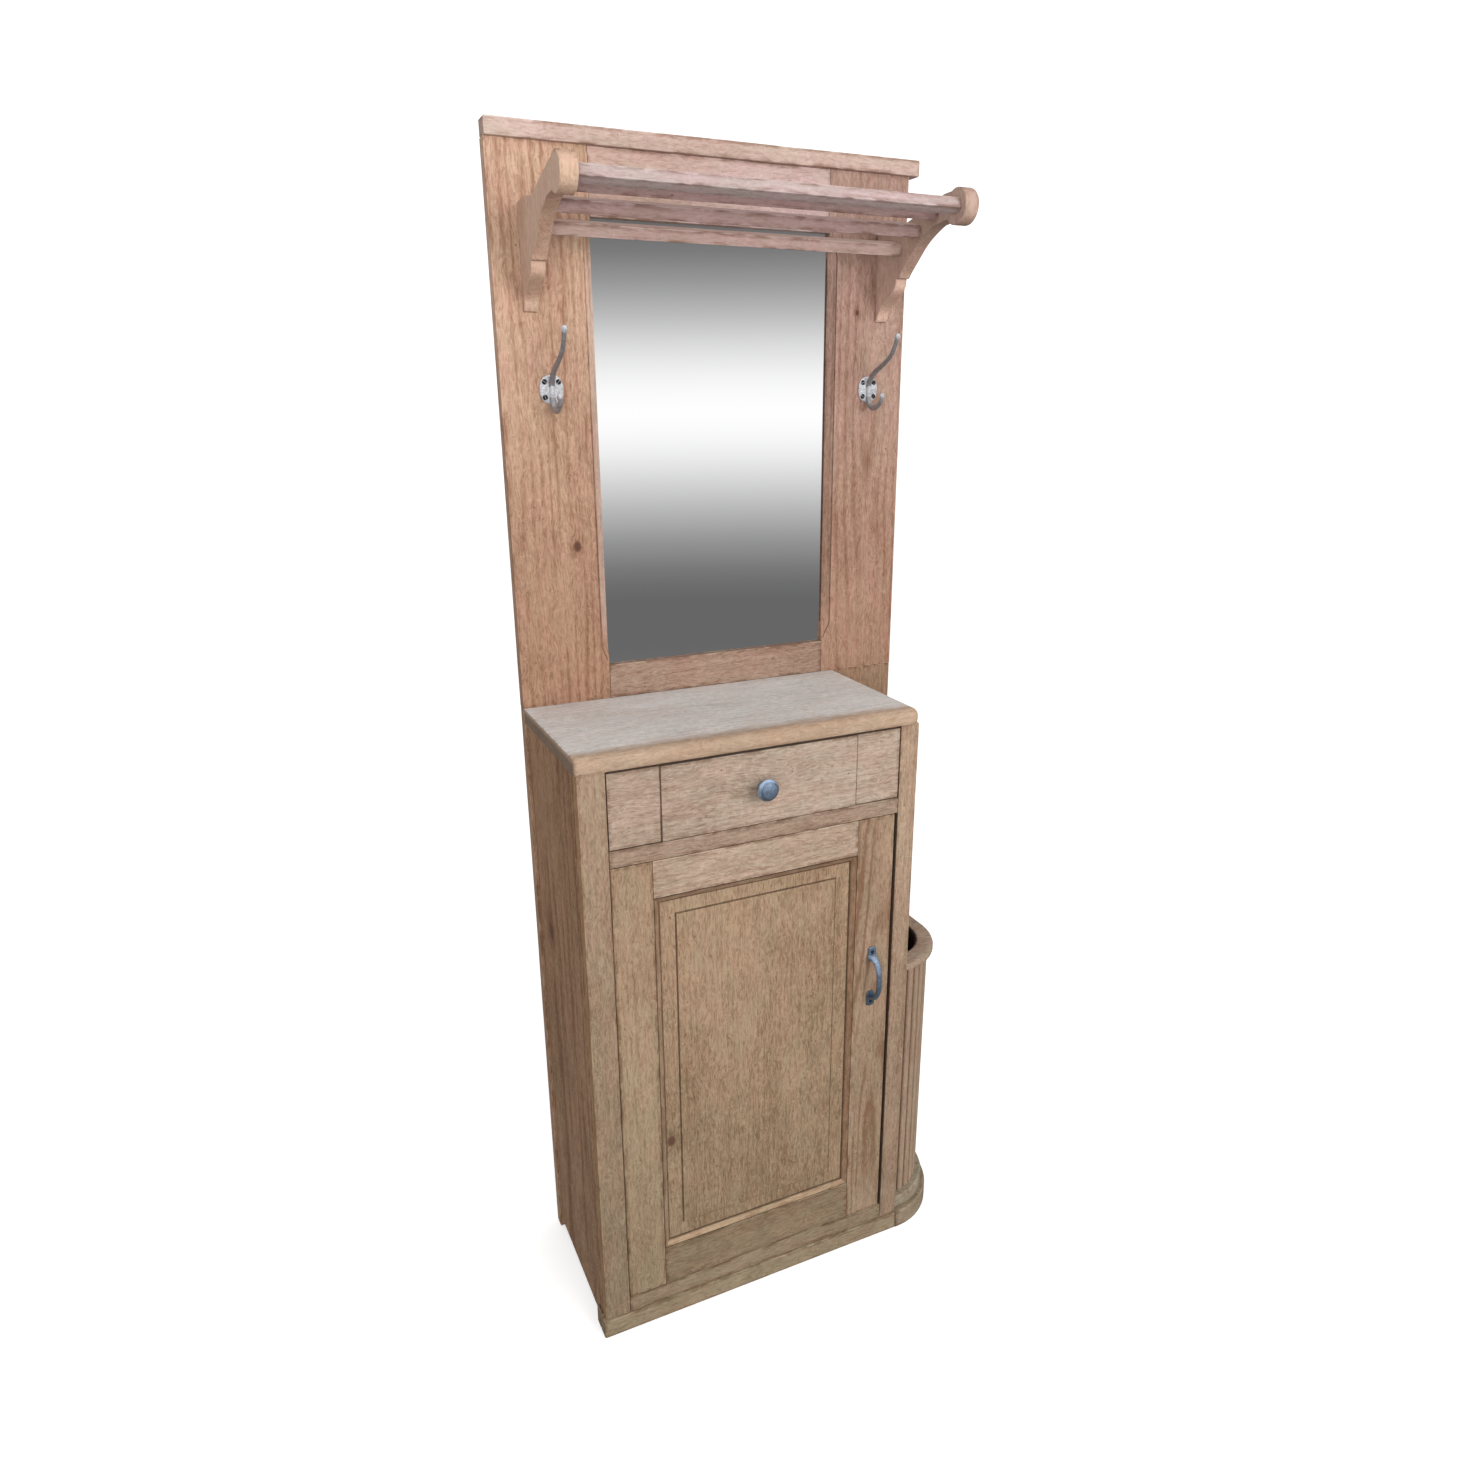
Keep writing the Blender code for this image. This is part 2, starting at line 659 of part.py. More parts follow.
def drawer(axis):
    x0 = OPENING_LEFT_X + DRAWER_REVEAL
    x1 = OPENING_RIGHT_X - DRAWER_REVEAL
    low_z = RAIL_HIGH_Z + DRAWER_REVEAL
    high_z = COUNTER_LOW_Z - DRAWER_TOP_GAP
    drawer_front(axis, x0, x1, low_z, high_z)
    side_y = BACK_FACE_Y + GAP
    thick = DRAWER_SIDE_THICK
    inset = 0.002
    for name, a in (("left", x0 + inset), ("right", x1 - inset - thick)):
        low = (a, side_y, RAIL_HIGH_Z + 0.0006)
        high = (a + thick, DRAWER_BACK_Y, DRAWER_BOX_HIGH_Z)
        board(f"drawer_side_{name}", low, high, "oak_inside", axis=axis)
    x0 += inset + thick + GAP
    x1 -= inset + thick + GAP
    bottom_z = RAIL_HIGH_Z + 0.008
    low = (x0, side_y, bottom_z)
    high = (x1, DRAWER_BACK_Y, bottom_z + 0.006)
    board("drawer_bottom", low, high, "oak_inside", axis=axis)
    low = (x0, DRAWER_BACK_Y - thick, bottom_z + 0.006 + GAP)
    high = (x1, DRAWER_BACK_Y, DRAWER_BOX_HIGH_Z - 0.006)
    board("drawer_back", low, high, "oak_inside", axis=axis)
    knob(axis)


def drawer_front(axis, x0, x1, low_z, high_z):
    """A thick front whose middle stands proud of its two ends."""
    raised_y = FACE_Y - DRAWER_FIELD_RAISE / 2
    end_y = raised_y + DRAWER_FIELD_RAISE
    step = 0.0015
    points = [
        (x0, BACK_FACE_Y),
        (x0, end_y),
        (DRAWER_FIELD_LEFT, end_y),
        (DRAWER_FIELD_LEFT + step, raised_y),
        (DRAWER_FIELD_RIGHT - step, raised_y),
        (DRAWER_FIELD_RIGHT, end_y),
        (x1, end_y),
        (x1, BACK_FACE_Y),
    ]
    ease(plan_piece("drawer_front", points, low_z, high_z, "oak_cabinet", axis), ARRIS)


def knob(axis):
    """A turned mushroom knob; its own z points into the room."""
    crown = 0.0115
    face_y = FACE_Y - DRAWER_FIELD_RAISE / 2 - GAP
    skirt_z = face_y - (FACE_Y - HANDLE_REACH) - crown
    dome = [
        (KNOB_RADIUS * math.sin(t), skirt_z + crown * math.cos(t))
        for t in (math.radians(15 * i) for i in range(7))
    ]
    under = [(0.0170, skirt_z - 0.0020), (0.0095, skirt_z - 0.0050)]
    stem = [(0.0062, 0.0090), (0.0062, 0.0060), (0.0090, 0.0025), (0.0090, 0.0), (0.0, 0.0)]
    profile = [*dome, *under, *stem]
    mesh = bpy.data.meshes.new("drawer_knob")
    shape = bmesh.new()
    verts = [shape.verts.new((radius, 0, z)) for radius, z in profile]
    for a, b in zip(verts, verts[1:]):
        shape.edges.new((a, b))
    shape.to_mesh(mesh)
    shape.free()
    obj = put("drawer_knob", mesh, "pull_iron", (KNOB_X, face_y, KNOB_Z), FACING_ROOM, axis)
    turned = obj.modifiers.new("turned", "SCREW")
    turned.steps = 24
    turned.render_steps = 24
    turned.use_merge_vertices = True
    turned.merge_threshold = 0.00001
    turned.use_smooth_shade = True


# ---------------------------------------------------------------- door


def door(axis):
    x0 = OPENING_LEFT_X + DOOR_REVEAL
    x1 = DOOR_RIGHT_X
    z0 = FLOOR_HIGH_Z + 0.001
    z1 = RAIL_LOW_Z - 0.001
    inner_x0 = OPENING_LEFT_X + DOOR_STILE_WIDTH
    inner_x1 = x1 - DOOR_STILE_WIDTH - 0.0025
    inner_z0 = z0 + DOOR_BOTTOM_RAIL
    inner_z1 = z1 - DOOR_TOP_RAIL
    rounding = arc((x0 + 0.004, FACE_Y + 0.004), 0.004, 180, 270, 5)
    points = [*rounding, (inner_x0, FACE_Y), (inner_x0, BACK_FACE_Y), (x0, BACK_FACE_Y)]
    hung = plan_block("door_stile_left", points, z0, z1, "oak_cabinet", axis)
    cut_pin_hole(hung, z0 - 0.002, FLOOR_HIGH_Z + PIN_LENGTH / 2 + GAP)
    cut_pin_hole(hung, RAIL_LOW_Z - PIN_LENGTH / 2 - GAP, z1 + 0.002)
    low = (inner_x1, FACE_Y, z0)
    board("door_stile_right", low, (x1, BACK_FACE_Y, z1), "oak_cabinet", axis=axis)
    for name, a, b in (("bottom", z0, inner_z0), ("top", inner_z1, z1)):
        low = (inner_x0 + GAP, FACE_Y, a)
        high = (inner_x1 - GAP, BACK_FACE_Y, b)
        board(f"door_rail_{name}", low, high, "oak_cabinet", axis=axis)
    opening = (inner_x0, inner_x1, inner_z0, inner_z1)
    door_panel(axis, *opening)
    door_beads(axis, *opening)
    door_handle(axis)


def door_panel(axis, x0, x1, z0, z1):
    """A panel set behind the beads, with a raised field."""
    margin_y = FACE_Y + BEAD_DEPTH + GAP
    back_y = BACK_FACE_Y - 0.004
    low = (x0 + GAP, margin_y, z0 + GAP)
    panel = board("door_panel", low, (x1 - GAP, back_y, z1 - GAP), "oak_cabinet", 0.0004, 1, axis)
    inset_x = BEAD_WIDTH + FIELD_MARGIN_X
    inset_z = BEAD_WIDTH + FIELD_MARGIN_Z
    field_y = margin_y - FIELD_RAISE
    low = Vector((x0 + inset_x, field_y, z0 + inset_z))
    high = Vector((x1 - inset_x, margin_y + 0.003, z1 - inset_z))
    field = loose(box_mesh("field", high - low))
    field.location = (low + high) / 2 - ORIGIN
    boolean(panel, field, "UNION")


def door_beads(axis, x0, x1, z0, z1):
    """Four sloping strips mitred round the panel; each section is (in from the frame, y)."""
    section = (
        (0.0, FACE_Y + 0.0008),
        (BEAD_WIDTH, FACE_Y + BEAD_DEPTH - 0.0012),
        (BEAD_WIDTH, FACE_Y + BEAD_DEPTH),
        (0.0, FACE_Y + BEAD_DEPTH),
    )
    x0, x1, z0, z1 = x0 + GAP, x1 - GAP, z0 + GAP, z1 - GAP
    corners = {
        "left": ((x0, z0), (x0, z1), (1, 1), (1, -1)),
        "right": ((x1, z0), (x1, z1), (-1, 1), (-1, -1)),
        "bottom": ((x0, z0), (x1, z0), (1, 1), (-1, 1)),
        "top": ((x0, z1), (x1, z1), (1, -1), (-1, -1)),
    }
    for name, (start, end, start_in, end_in) in corners.items():
        upright = name in ("left", "right")
        shape = bmesh.new()
        rings = []
        for (x, z), (step_x, step_z), sign in ((start, start_in, 1), (end, end_in, -1)):
            short = (0, sign * GAP) if upright else (sign * GAP, 0)
            ring = [
                shape.verts.new((x + step_x * u + short[0], y, z + step_z * u + short[1]))
                for u, y in section
            ]
            rings.append(ring)
        first, last = rings
        shape.faces.new(first)
        shape.faces.new(reversed(last))
        for i, vert in enumerate(first):
            j = (i + 1) % len(first)
            shape.faces.new((vert, last[i], last[j], first[j]))
        bmesh.ops.recalc_face_normals(shape, faces=shape.faces)
        mesh = bpy.data.meshes.new(f"door_bead_{name}")
        shape.to_mesh(mesh)
        shape.free()
        put(f"door_bead_{name}", mesh, "oak_cabinet", (0, 0, 0), axis=axis)


def door_handle(axis):
    """A cast bow pull: two screw plates and a bar that arches between them."""
    half = HANDLE_LENGTH / 2
    screw = SCREW_SPACING / 2
    thick = 0.003
    reach = HANDLE_REACH - GAP - 0.0042
    plates = [
        ease(block((0.017, thick, 0.022), (0, -thick / 2, sign * (half - 0.011))), 0.001)
        for sign in (1, -1)
    ]
    path = [
        (0, -0.001, screw - 0.0095),
        (0, -0.013, screw - 0.0110),
        (0, -0.0235, screw - 0.0190),
        (0, 0.0006 - reach, 0.014),
        (0, -reach, 0),
        (0, 0.0006 - reach, -0.014),
        (0, -0.0235, 0.0190 - screw),
        (0, -0.013, 0.0110 - screw),
        (0, -0.001, 0.0095 - screw),
    ]
    mesh = fused([tube(path, 0.0042, 0.0042), *plates])
    put("door_handle", mesh, "pull_iron", (HANDLE_X, FACE_Y - GAP, HANDLE_Z), axis=axis)
    for name, sign in (("top", 1), ("bottom", -1)):
        head = cylinder_mesh(f"handle_screw_{name}", 0.0033, 0, 0.0014, 12)
        place = (HANDLE_X, FACE_Y - 2 * GAP - thick, HANDLE_Z + sign * screw)
        put(f"handle_screw_{name}", head, "pull_iron", place, FACING_ROOM, axis)


def hinge_pins():
    """Steel pivots let into the rails above and below the door's left edge."""
    for name, z in (("bottom", FLOOR_HIGH_Z), ("top", RAIL_LOW_Z)):
        pin = cylinder_mesh(f"hinge_pin_{name}", PIN_RADIUS, -PIN_LENGTH / 2, PIN_LENGTH / 2, 16)
        put(f"hinge_pin_{name}", pin, "steel", (DOOR_AXIS[0], DOOR_AXIS[1], z))


# ---------------------------------------------------------------- assembly


def joint_empty(name, place):
    empty = bpy.data.objects.new(name, None)
    empty.location = Vector(place) - ORIGIN
    PARTS.objects.link(empty)
    return empty


clear_scene()
PARTS = new_collection("hall_tree")
CUTTERS = new_collection("cutters")
upper_frame()
mirror()
cap()
rack()
hooks()
carcass()
carcass_inside()
counter()
plinth()
umbrella_stand()
hinge_pins()
drawer(joint_empty("drawer_axis", DRAWER_AXIS))
door(joint_empty("door_axis", DOOR_AXIS))
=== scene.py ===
"""The looks of the oak hall tree: boards with grain, iron hooks and pulls, a mirror, light and camera.

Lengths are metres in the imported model's frame: x to the right, y towards the wall, z up.
"""

import math

import bmesh
import bpy
from mathutils import Matrix, Vector, noise
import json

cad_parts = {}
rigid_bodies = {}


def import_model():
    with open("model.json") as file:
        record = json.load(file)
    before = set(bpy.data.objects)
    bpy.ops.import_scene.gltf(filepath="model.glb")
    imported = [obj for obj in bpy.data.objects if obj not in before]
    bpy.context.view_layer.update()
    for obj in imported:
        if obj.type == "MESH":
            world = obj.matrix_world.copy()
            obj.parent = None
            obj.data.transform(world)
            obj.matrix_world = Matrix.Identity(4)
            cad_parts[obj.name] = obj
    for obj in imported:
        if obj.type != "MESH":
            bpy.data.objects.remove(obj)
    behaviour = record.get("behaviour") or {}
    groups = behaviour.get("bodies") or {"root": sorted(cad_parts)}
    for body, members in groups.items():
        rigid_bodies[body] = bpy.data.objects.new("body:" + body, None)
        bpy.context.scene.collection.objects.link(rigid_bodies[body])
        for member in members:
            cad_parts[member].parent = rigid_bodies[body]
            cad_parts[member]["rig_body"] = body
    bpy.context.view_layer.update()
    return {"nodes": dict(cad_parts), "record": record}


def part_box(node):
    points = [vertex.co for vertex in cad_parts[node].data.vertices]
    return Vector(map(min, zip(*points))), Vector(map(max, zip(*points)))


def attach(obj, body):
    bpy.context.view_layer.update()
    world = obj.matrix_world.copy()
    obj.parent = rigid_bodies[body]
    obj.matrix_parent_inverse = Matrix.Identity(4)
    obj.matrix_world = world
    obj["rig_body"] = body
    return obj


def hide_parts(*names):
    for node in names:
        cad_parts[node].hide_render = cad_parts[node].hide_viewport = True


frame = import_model()
NODES = frame["nodes"]
SLOT = {part["node"]: part["material_slot"] for part in frame["record"]["subparts"]}
WOBBLE_SEED = 7

# The clock seeds noise_vector otherwise, and each run would bend the boards anew.
noise.seed_set(WOBBLE_SEED)


# ---------------------------------------------------------------- node trees


class Tree:
    """Adds nodes to a material or world; each method returns the new node's output."""

    def __init__(self, tree):
        self.tree = tree

    def node(self, kind, inputs=None, output=0, **settings):
        made = self.tree.nodes.new(f"ShaderNode{kind}")
        for key, value in settings.items():
            setattr(made, key, value)
        for key, value in (inputs or {}).items():
            if isinstance(value, bpy.types.NodeSocket):
                self.tree.links.new(value, made.inputs[key])
            else:
                made.inputs[key].default_value = value
        return made.outputs[output]

    def vertex(self, name, output="Vector"):
        return self.node("Attribute", output=output, attribute_name=name)

    def own(self, name, output="Vector"):
        """A property of the object itself."""
        return self.node("Attribute", output=output, attribute_name=name, attribute_type="OBJECT")

    def math(self, operation, a, b=0.0, c=0.0, clamp=False):
        values = {0: a, 1: b, 2: c}
        return self.node("Math", values, operation=operation, use_clamp=clamp)

    def total(self, *values):
        result = values[0]
        for value in values[1:]:
            result = self.math("ADD", result, value)
        return result

    def vector(self, operation, a, b=(0, 0, 0)):
        values = {0: a, 1: b}
        return self.node("VectorMath", values, operation=operation)

    def parts(self, vector):
        split = self.tree.nodes.new("ShaderNodeSeparateXYZ")
        self.tree.links.new(vector, split.inputs[0])
        return split.outputs[0], split.outputs[1], split.outputs[2]

    def join(self, x, y, z):
        return self.node("CombineXYZ", {0: x, 1: y, 2: z})

    def noise(self, vector, stretch=(1, 1, 1), detail=2.0, rough=0.5, warp=0.0, output="Fac"):
        scaled = self.vector("MULTIPLY", vector, stretch)
        values = {"Vector": scaled, "Scale": 1.0, "Detail": detail, "Roughness": rough, "Distortion": warp}
        return self.node("TexNoise", values, output=output)

    def ease(self, value, low, high, start=0.0, end=1.0):
        values = {"Value": value, "From Min": low, "From Max": high, "To Min": start, "To Max": end}
        return self.node("MapRange", values, interpolation_type="SMOOTHSTEP")

    def mix(self, share, a, b, blend="MIX"):
        values = {0: share, 6: a, 7: b}
        return self.node("Mix", values, output=2, data_type="RGBA", blend_type=blend)

    def bump(self, height, strength, distance):
        values = {"Height": height, "Strength": strength, "Distance": distance}
        return self.node("Bump", values, output="Normal")


def new_material(name):
    made = bpy.data.materials.new(name)
    made.use_nodes = True
    tree = Tree(made.node_tree)
    return made, tree, made.node_tree.nodes["Principled BSDF"]


def feed(tree, shader, **sources):
    for name, source in sources.items():
        tree.tree.links.new(source, shader.inputs[name.replace("_", " ")])


# ---------------------------------------------------------------- materials


def ring_field(tree, place, local):
    """Distance from the tree's heart, which each board carries as (across, behind, slope)."""
    x, y, z = tree.parts(local)
    across, behind, slope = tree.parts(tree.own("pith"))
    slow = tree.noise(place, (2.6, 10, 10), 2.0, 0.5, 0.0, "Color")
    slow = tree.vector("MULTIPLY", tree.vector("SUBTRACT", slow, (0.5, 0.5, 0.5)), (0, 0.026, 0.026))
    quick = tree.noise(place, (16, 55, 55), 2.0, 0.5, 0.0, "Color")
    quick = tree.vector("MULTIPLY", tree.vector("SUBTRACT", quick, (0.5, 0.5, 0.5)), (0, 0.0045, 0.0045))
    shift_x, shift_y, shift_z = tree.parts(tree.vector("ADD", slow, quick))
    knot_x, knot_y, knot_size = tree.parts(tree.own("knot"))
    along = tree.math("MULTIPLY", tree.math("SUBTRACT", x, knot_x), 0.72)
    aside = tree.math("SUBTRACT", y, knot_y)
    reach = tree.math("SQRT", tree.total(tree.math("POWER", along, 2.0), tree.math("POWER", aside, 2.0)))
    reach = tree.math("DIVIDE", reach, knot_size)
    push = tree.math("MULTIPLY", tree.math("EXPONENT", tree.math("MULTIPLY", reach, -0.55)), knot_size)
    push = tree.math("MULTIPLY", push, tree.math("SIGN", aside))
    u = tree.total(y, shift_y, tree.math("MULTIPLY", push, -1.2))
    u = tree.math("SUBTRACT", u, across)
    v = tree.math("SUBTRACT", tree.total(z, shift_z), tree.total(behind, tree.math("MULTIPLY", slope, x)))
    heart = tree.math("SQRT", tree.total(tree.math("POWER", u, 2.0), tree.math("POWER", v, 2.0)))
    return heart, reach


def edge_distance(tree, local):
    """Distance to the nearest arris of the board: the middle one of the three distances to its faces."""
    gap = tree.vector("SUBTRACT", tree.own("half"), tree.vector("ABSOLUTE", local))
    x, y, z = tree.parts(gap)
    low = tree.math("MINIMUM", x, y)
    high = tree.math("MAXIMUM", x, y)
    return tree.math("MAXIMUM", low, tree.math("MINIMUM", high, z))


def year_rings(tree, place, local):
    """How strongly a year ring shows, and how far the board's knot is, in its own sizes."""
    amount, pitch = tree.parts(tree.own("rings"))[:2]
    heart, reach = ring_field(tree, place, local)
    turns = tree.math("DIVIDE", tree.math("MULTIPLY", heart, 2 * math.pi), pitch)
    drift = tree.noise(place, (1.5, 34, 34), 2.0)
    turns = tree.math("ADD", turns, tree.math("MULTIPLY", drift, 9.0))
    ring = tree.math("POWER", tree.math("MULTIPLY_ADD", tree.math("SINE", turns), 0.5, 0.5), 3.0)
    ring_share = tree.ease(tree.noise(place, (4.0, 17, 17), 3.0), 0.38, 0.62)
    return tree.math("MULTIPLY", ring, tree.math("MULTIPLY", ring_share, amount)), reach


def grain(tree, place):
    """The sum of streaks, strokes, pores, clouds and ray flecks, with its pores and strokes on their own."""
    sway = tree.noise(place, (14, 26, 26), 2.0, 0.5)
    sway = tree.math("MULTIPLY", tree.math("SUBTRACT", sway, 0.5), 0.030)
    swayed = tree.vector("ADD", place, tree.join(0.0, sway, sway))
    long_streak = tree.ease(tree.noise(swayed, (9, 120, 120), 4.0, 0.6), 0.34, 0.66, -0.5, 0.5)
    stroke = tree.ease(tree.noise(swayed, (75, 340, 340), 3.0, 0.6, 0.3), 0.36, 0.64, -0.5, 0.5)
    pore = tree.ease(tree.noise(swayed, (42, 470, 470), 4.0, 0.7), 0.50, 0.62)
    mottle = tree.ease(tree.noise(place, (16, 40, 40), 4.0, 0.6), 0.32, 0.68, -0.5, 0.5)
    broad = tree.ease(tree.noise(place, (2.4, 8, 8), 2.0), 0.32, 0.68, -0.5, 0.5)
    fleck = tree.ease(tree.noise(swayed, (150, 70, 70), 1.0, 0.5, 0.8), 0.58, 0.70)
    figure = tree.total(
        tree.math("MULTIPLY", long_streak, 0.13),
        tree.math("MULTIPLY", stroke, 0.34),
        tree.math("MULTIPLY", pore, 0.34),
        tree.math("MULTIPLY", mottle, 0.22),
        tree.math("MULTIPLY", broad, 0.24),
        tree.math("MULTIPLY", fleck, -0.16),
    )
    return figure, pore, stroke


def handled(tree, shade, local, rub, wear, grime):
    """Pale rubbed arrises, with dirt beside them."""
    edge = edge_distance(tree, local)
    worn = tree.math("MULTIPLY", tree.ease(edge, 0.0004, 0.0026, 1.0, 0.0), tree.ease(rub, 0.35, 0.6))
    dirt = tree.math("MULTIPLY", tree.ease(edge, 0.0008, 0.0075, 1.0, 0.0), tree.ease(rub, 0.65, 0.35))
    shade = tree.math("MULTIPLY_ADD", tree.math("MULTIPLY", worn, wear), -0.50, shade)
    return tree.math("MULTIPLY_ADD", tree.math("MULTIPLY", dirt, grime), 0.65, shade)


def bleached(tree, colour, local, half, rub, greyed):
    """Takes the colour to grey on the top face, away from its front edge."""
    inward = tree.math("ADD", local[1], half[1])
    inward = tree.math("ADD", inward, tree.math("MULTIPLY", rub, 0.02))
    top = tree.math("SUBTRACT", half[2], local[2])
    bare = tree.math("MULTIPLY", tree.ease(inward, 0.018, 0.052), tree.ease(top, 0.0, 0.004, 1.0, 0.0))
    return tree.mix(bare, colour, tree.mix(1.0, colour, (*greyed, 1), "MULTIPLY"))


def sooty(tree, colour, rub):
    """Darkens where the attribute is above 0: painted shade in grooves, gaps, undersides and corners, and
    dirt at joints; near black where it is 1, the painted shade inside the umbrella stand; and paler where it
    is below 0, a painted light on a lit chamfer.
    """
    amount = tree.vertex("soot", "Fac")
    soot = tree.math("MULTIPLY", amount, tree.ease(rub, 0.2, 0.5, 0.7, 1.0), clamp=True)
    colour = tree.mix(soot, colour, (0.045, 0.026, 0.018, 1))
    black = tree.ease(amount, 0.92, 0.99, 0.0, 0.85)
    colour = tree.mix(black, colour, (0.008, 0.008, 0.008, 1))
    painted_pale = tree.math("MULTIPLY", amount, -1.0, clamp=True)
    return tree.mix(painted_pale, colour, (0.72, 0.62, 0.58, 1))


def oak(name, light, dark, hue_a, hue_b, roughness, greyed=None):
    """Oak whose pores, rings, ray flecks, knots, pits, dirt and worn arrises follow each board's grain; its
    colour also carries painted light and shade in each board's mean colour, its falloff along the grain, the
    tint on its narrow sides and the per-point darkening.

    greyed is the colour that the top face takes away from its front edge.
    """
    made, tree, shader = new_material(name)
    local = tree.vertex("local")
    place = tree.vector("ADD", local, tree.own("seed"))
    wear, grime, contrast = tree.parts(tree.own("look"))
    rub = tree.noise(place, (30, 90, 90), 2.0)
    ring, reach = year_rings(tree, place, local)
    figure, pore, stroke = grain(tree, place)
    shade = tree.math("MULTIPLY_ADD", tree.math("ADD", ring, figure), contrast, 0.32)
    shade = handled(tree, shade, local, rub, wear, grime)
    halo = tree.ease(reach, 0.9, 3.2, 0.34, 0.0)
    core = tree.ease(reach, 0.45, 1.10, 1.15, 0.0)
    pits = tree.vector("MULTIPLY", place, (26, 34, 34))
    pits = tree.node("TexVoronoi", {"Vector": pits, "Scale": 1.0, "Randomness": 1.0}, output="Distance")
    pit = tree.ease(pits, 0.035, 0.06, 0.9, 0.0)
    shade = tree.total(shade, halo, core, pit)
    end = tree.vertex("end", "Fac")
    shade = tree.math("MULTIPLY_ADD", tree.ease(end, 0.5, 0.8), 0.30, shade, clamp=True)
    colour = tree.mix(shade, (*light, 1), (*dark, 1))
    colour = tree.mix(tree.math("MULTIPLY", ring, 0.9, clamp=True), colour, (0.62, 0.40, 0.30, 1))
    hue = tree.ease(tree.noise(place, (13, 34, 34), 4.0, 0.65), 0.36, 0.64)
    colour = tree.mix(1.0, colour, tree.mix(hue, (*hue_a, 1), (*hue_b, 1)), "MULTIPLY")
    # The board's mean colour, which carries painted shade for boards low down or in shade.
    colour = tree.mix(1.0, colour, tree.own("tone_and_shade"), "MULTIPLY")
    # Painted falloff of light: the colour is multiplied towards the low end of the board's grain.
    half = tree.parts(tree.own("half"))
    across = tree.parts(local)
    share = tree.math("DIVIDE", across[0], half[0])
    painted_falloff = tree.mix(tree.ease(share, -1.0, 0.9), tree.own("painted_falloff"), (1, 1, 1, 1))
    colour = tree.mix(1.0, colour, painted_falloff, "MULTIPLY")
    # Painted light: the narrow sides take a warmer tint that stands in for the light falling on them.
    flank = tree.mix(tree.vertex("flank", "Fac"), (1, 1, 1, 1), tree.own("flank_light_tint"))
    colour = tree.mix(1.0, colour, flank, "MULTIPLY")
    if greyed:
        colour = bleached(tree, colour, across, half, rub, greyed)
    heartwood = tree.math("MULTIPLY", core, 0.85, clamp=True)
    colour = tree.mix(heartwood, colour, (0.105, 0.050, 0.032, 1))
    # Painted shade in grooves, gaps, undersides and the umbrella stand's inside, dirt at joints, and a paler
    # painted light on one chamfer.
    colour = sooty(tree, colour, rub)
    shine = tree.math("MULTIPLY_ADD", shade, 0.16, roughness, clamp=True)
    fuzz = tree.noise(place, (180, 900, 900), 2.0)
    height = tree.total(
        tree.math("MULTIPLY", pore, -0.55),
        tree.math("MULTIPLY", stroke, -0.55),
        tree.math("MULTIPLY", ring, -0.35),
        tree.math("MULTIPLY", fuzz, 0.25),
        tree.math("MULTIPLY", pit, -0.9),
    )
    normal = tree.bump(height, 0.55, 0.00045)
    feed(tree, shader, Base_Color=colour, Roughness=shine, Normal=normal)
    shader.inputs["Specular IOR Level"].default_value = 0.30
    return made


def iron(name, dull, bright, dull_rough, bright_rough, metallic):
    """Cast iron, brighter wherever the piece's own attribute says so: rubbed bright on the hooks, and painted
    highlight and shade on the knob and the handle.
    """
    made, tree, shader = new_material(name)
    place = tree.node("TexCoord", output="Object")
    polish_and_sheen = tree.vertex("polish_and_sheen", "Fac")
    grain = tree.noise(place, (420, 420, 420), 3.0, 0.6)
    patch = tree.noise(place, (90, 90, 90), 3.0, 0.6)
    # Rubbed wear on the hooks; painted highlight and shade on the knob and the handle.
    rubbed = tree.math("MULTIPLY", polish_and_sheen, tree.ease(patch, 0.2, 0.5, 0.75, 1.0))
    colour = tree.mix(rubbed, (*dull, 1), (*bright, 1))
    rust = tree.math("MULTIPLY", tree.ease(patch, 0.52, 0.68), 0.30)
    colour = tree.mix(rust, colour, (0.10, 0.055, 0.035, 1))
    hollow = tree.math("MULTIPLY", polish_and_sheen, -1.0, clamp=True)
    colour = tree.mix(hollow, colour, (0.010, 0.012, 0.020, 1))
    speck = tree.ease(grain, 0.40, 0.62, 0.78, 1.10)
    colour = tree.mix(1.0, colour, tree.join(speck, speck, speck), "MULTIPLY")
    rough = tree.math("MULTIPLY_ADD", rubbed, bright_rough - dull_rough, dull_rough)
    rough = tree.math("MULTIPLY_ADD", grain, 0.12, rough)
    normal = tree.bump(tree.total(grain, patch), 0.45, 0.00035)
    feed(tree, shader, Base_Color=colour, Roughness=rough, Normal=normal)
    shader.inputs["Metallic"].default_value = metallic
    return made


def mirror_silver():
    """Old silvered glass: clean, with the faintest haze and dust."""
    made, tree, shader = new_material("mirror_silver")
    place = tree.node("TexCoord", output="Object")
    haze = tree.ease(tree.noise(place, (3, 3, 3), 4.0, 0.6), 0.45, 0.8, 0.0, 0.02)
    dust = tree.ease(tree.noise(place, (600, 600, 600), 1.0), 0.72, 0.80, 0.0, 0.05)
    rough = tree.total(haze, dust, 0.012)
    tint = tree.mix(tree.noise(place, (5, 5, 5), 2.0), (0.960, 0.962, 0.962, 1), (0.972, 0.974, 0.974, 1))
    feed(tree, shader, Base_Color=tint, Roughness=rough)
    shader.inputs["Metallic"].default_value = 1.0
    return made


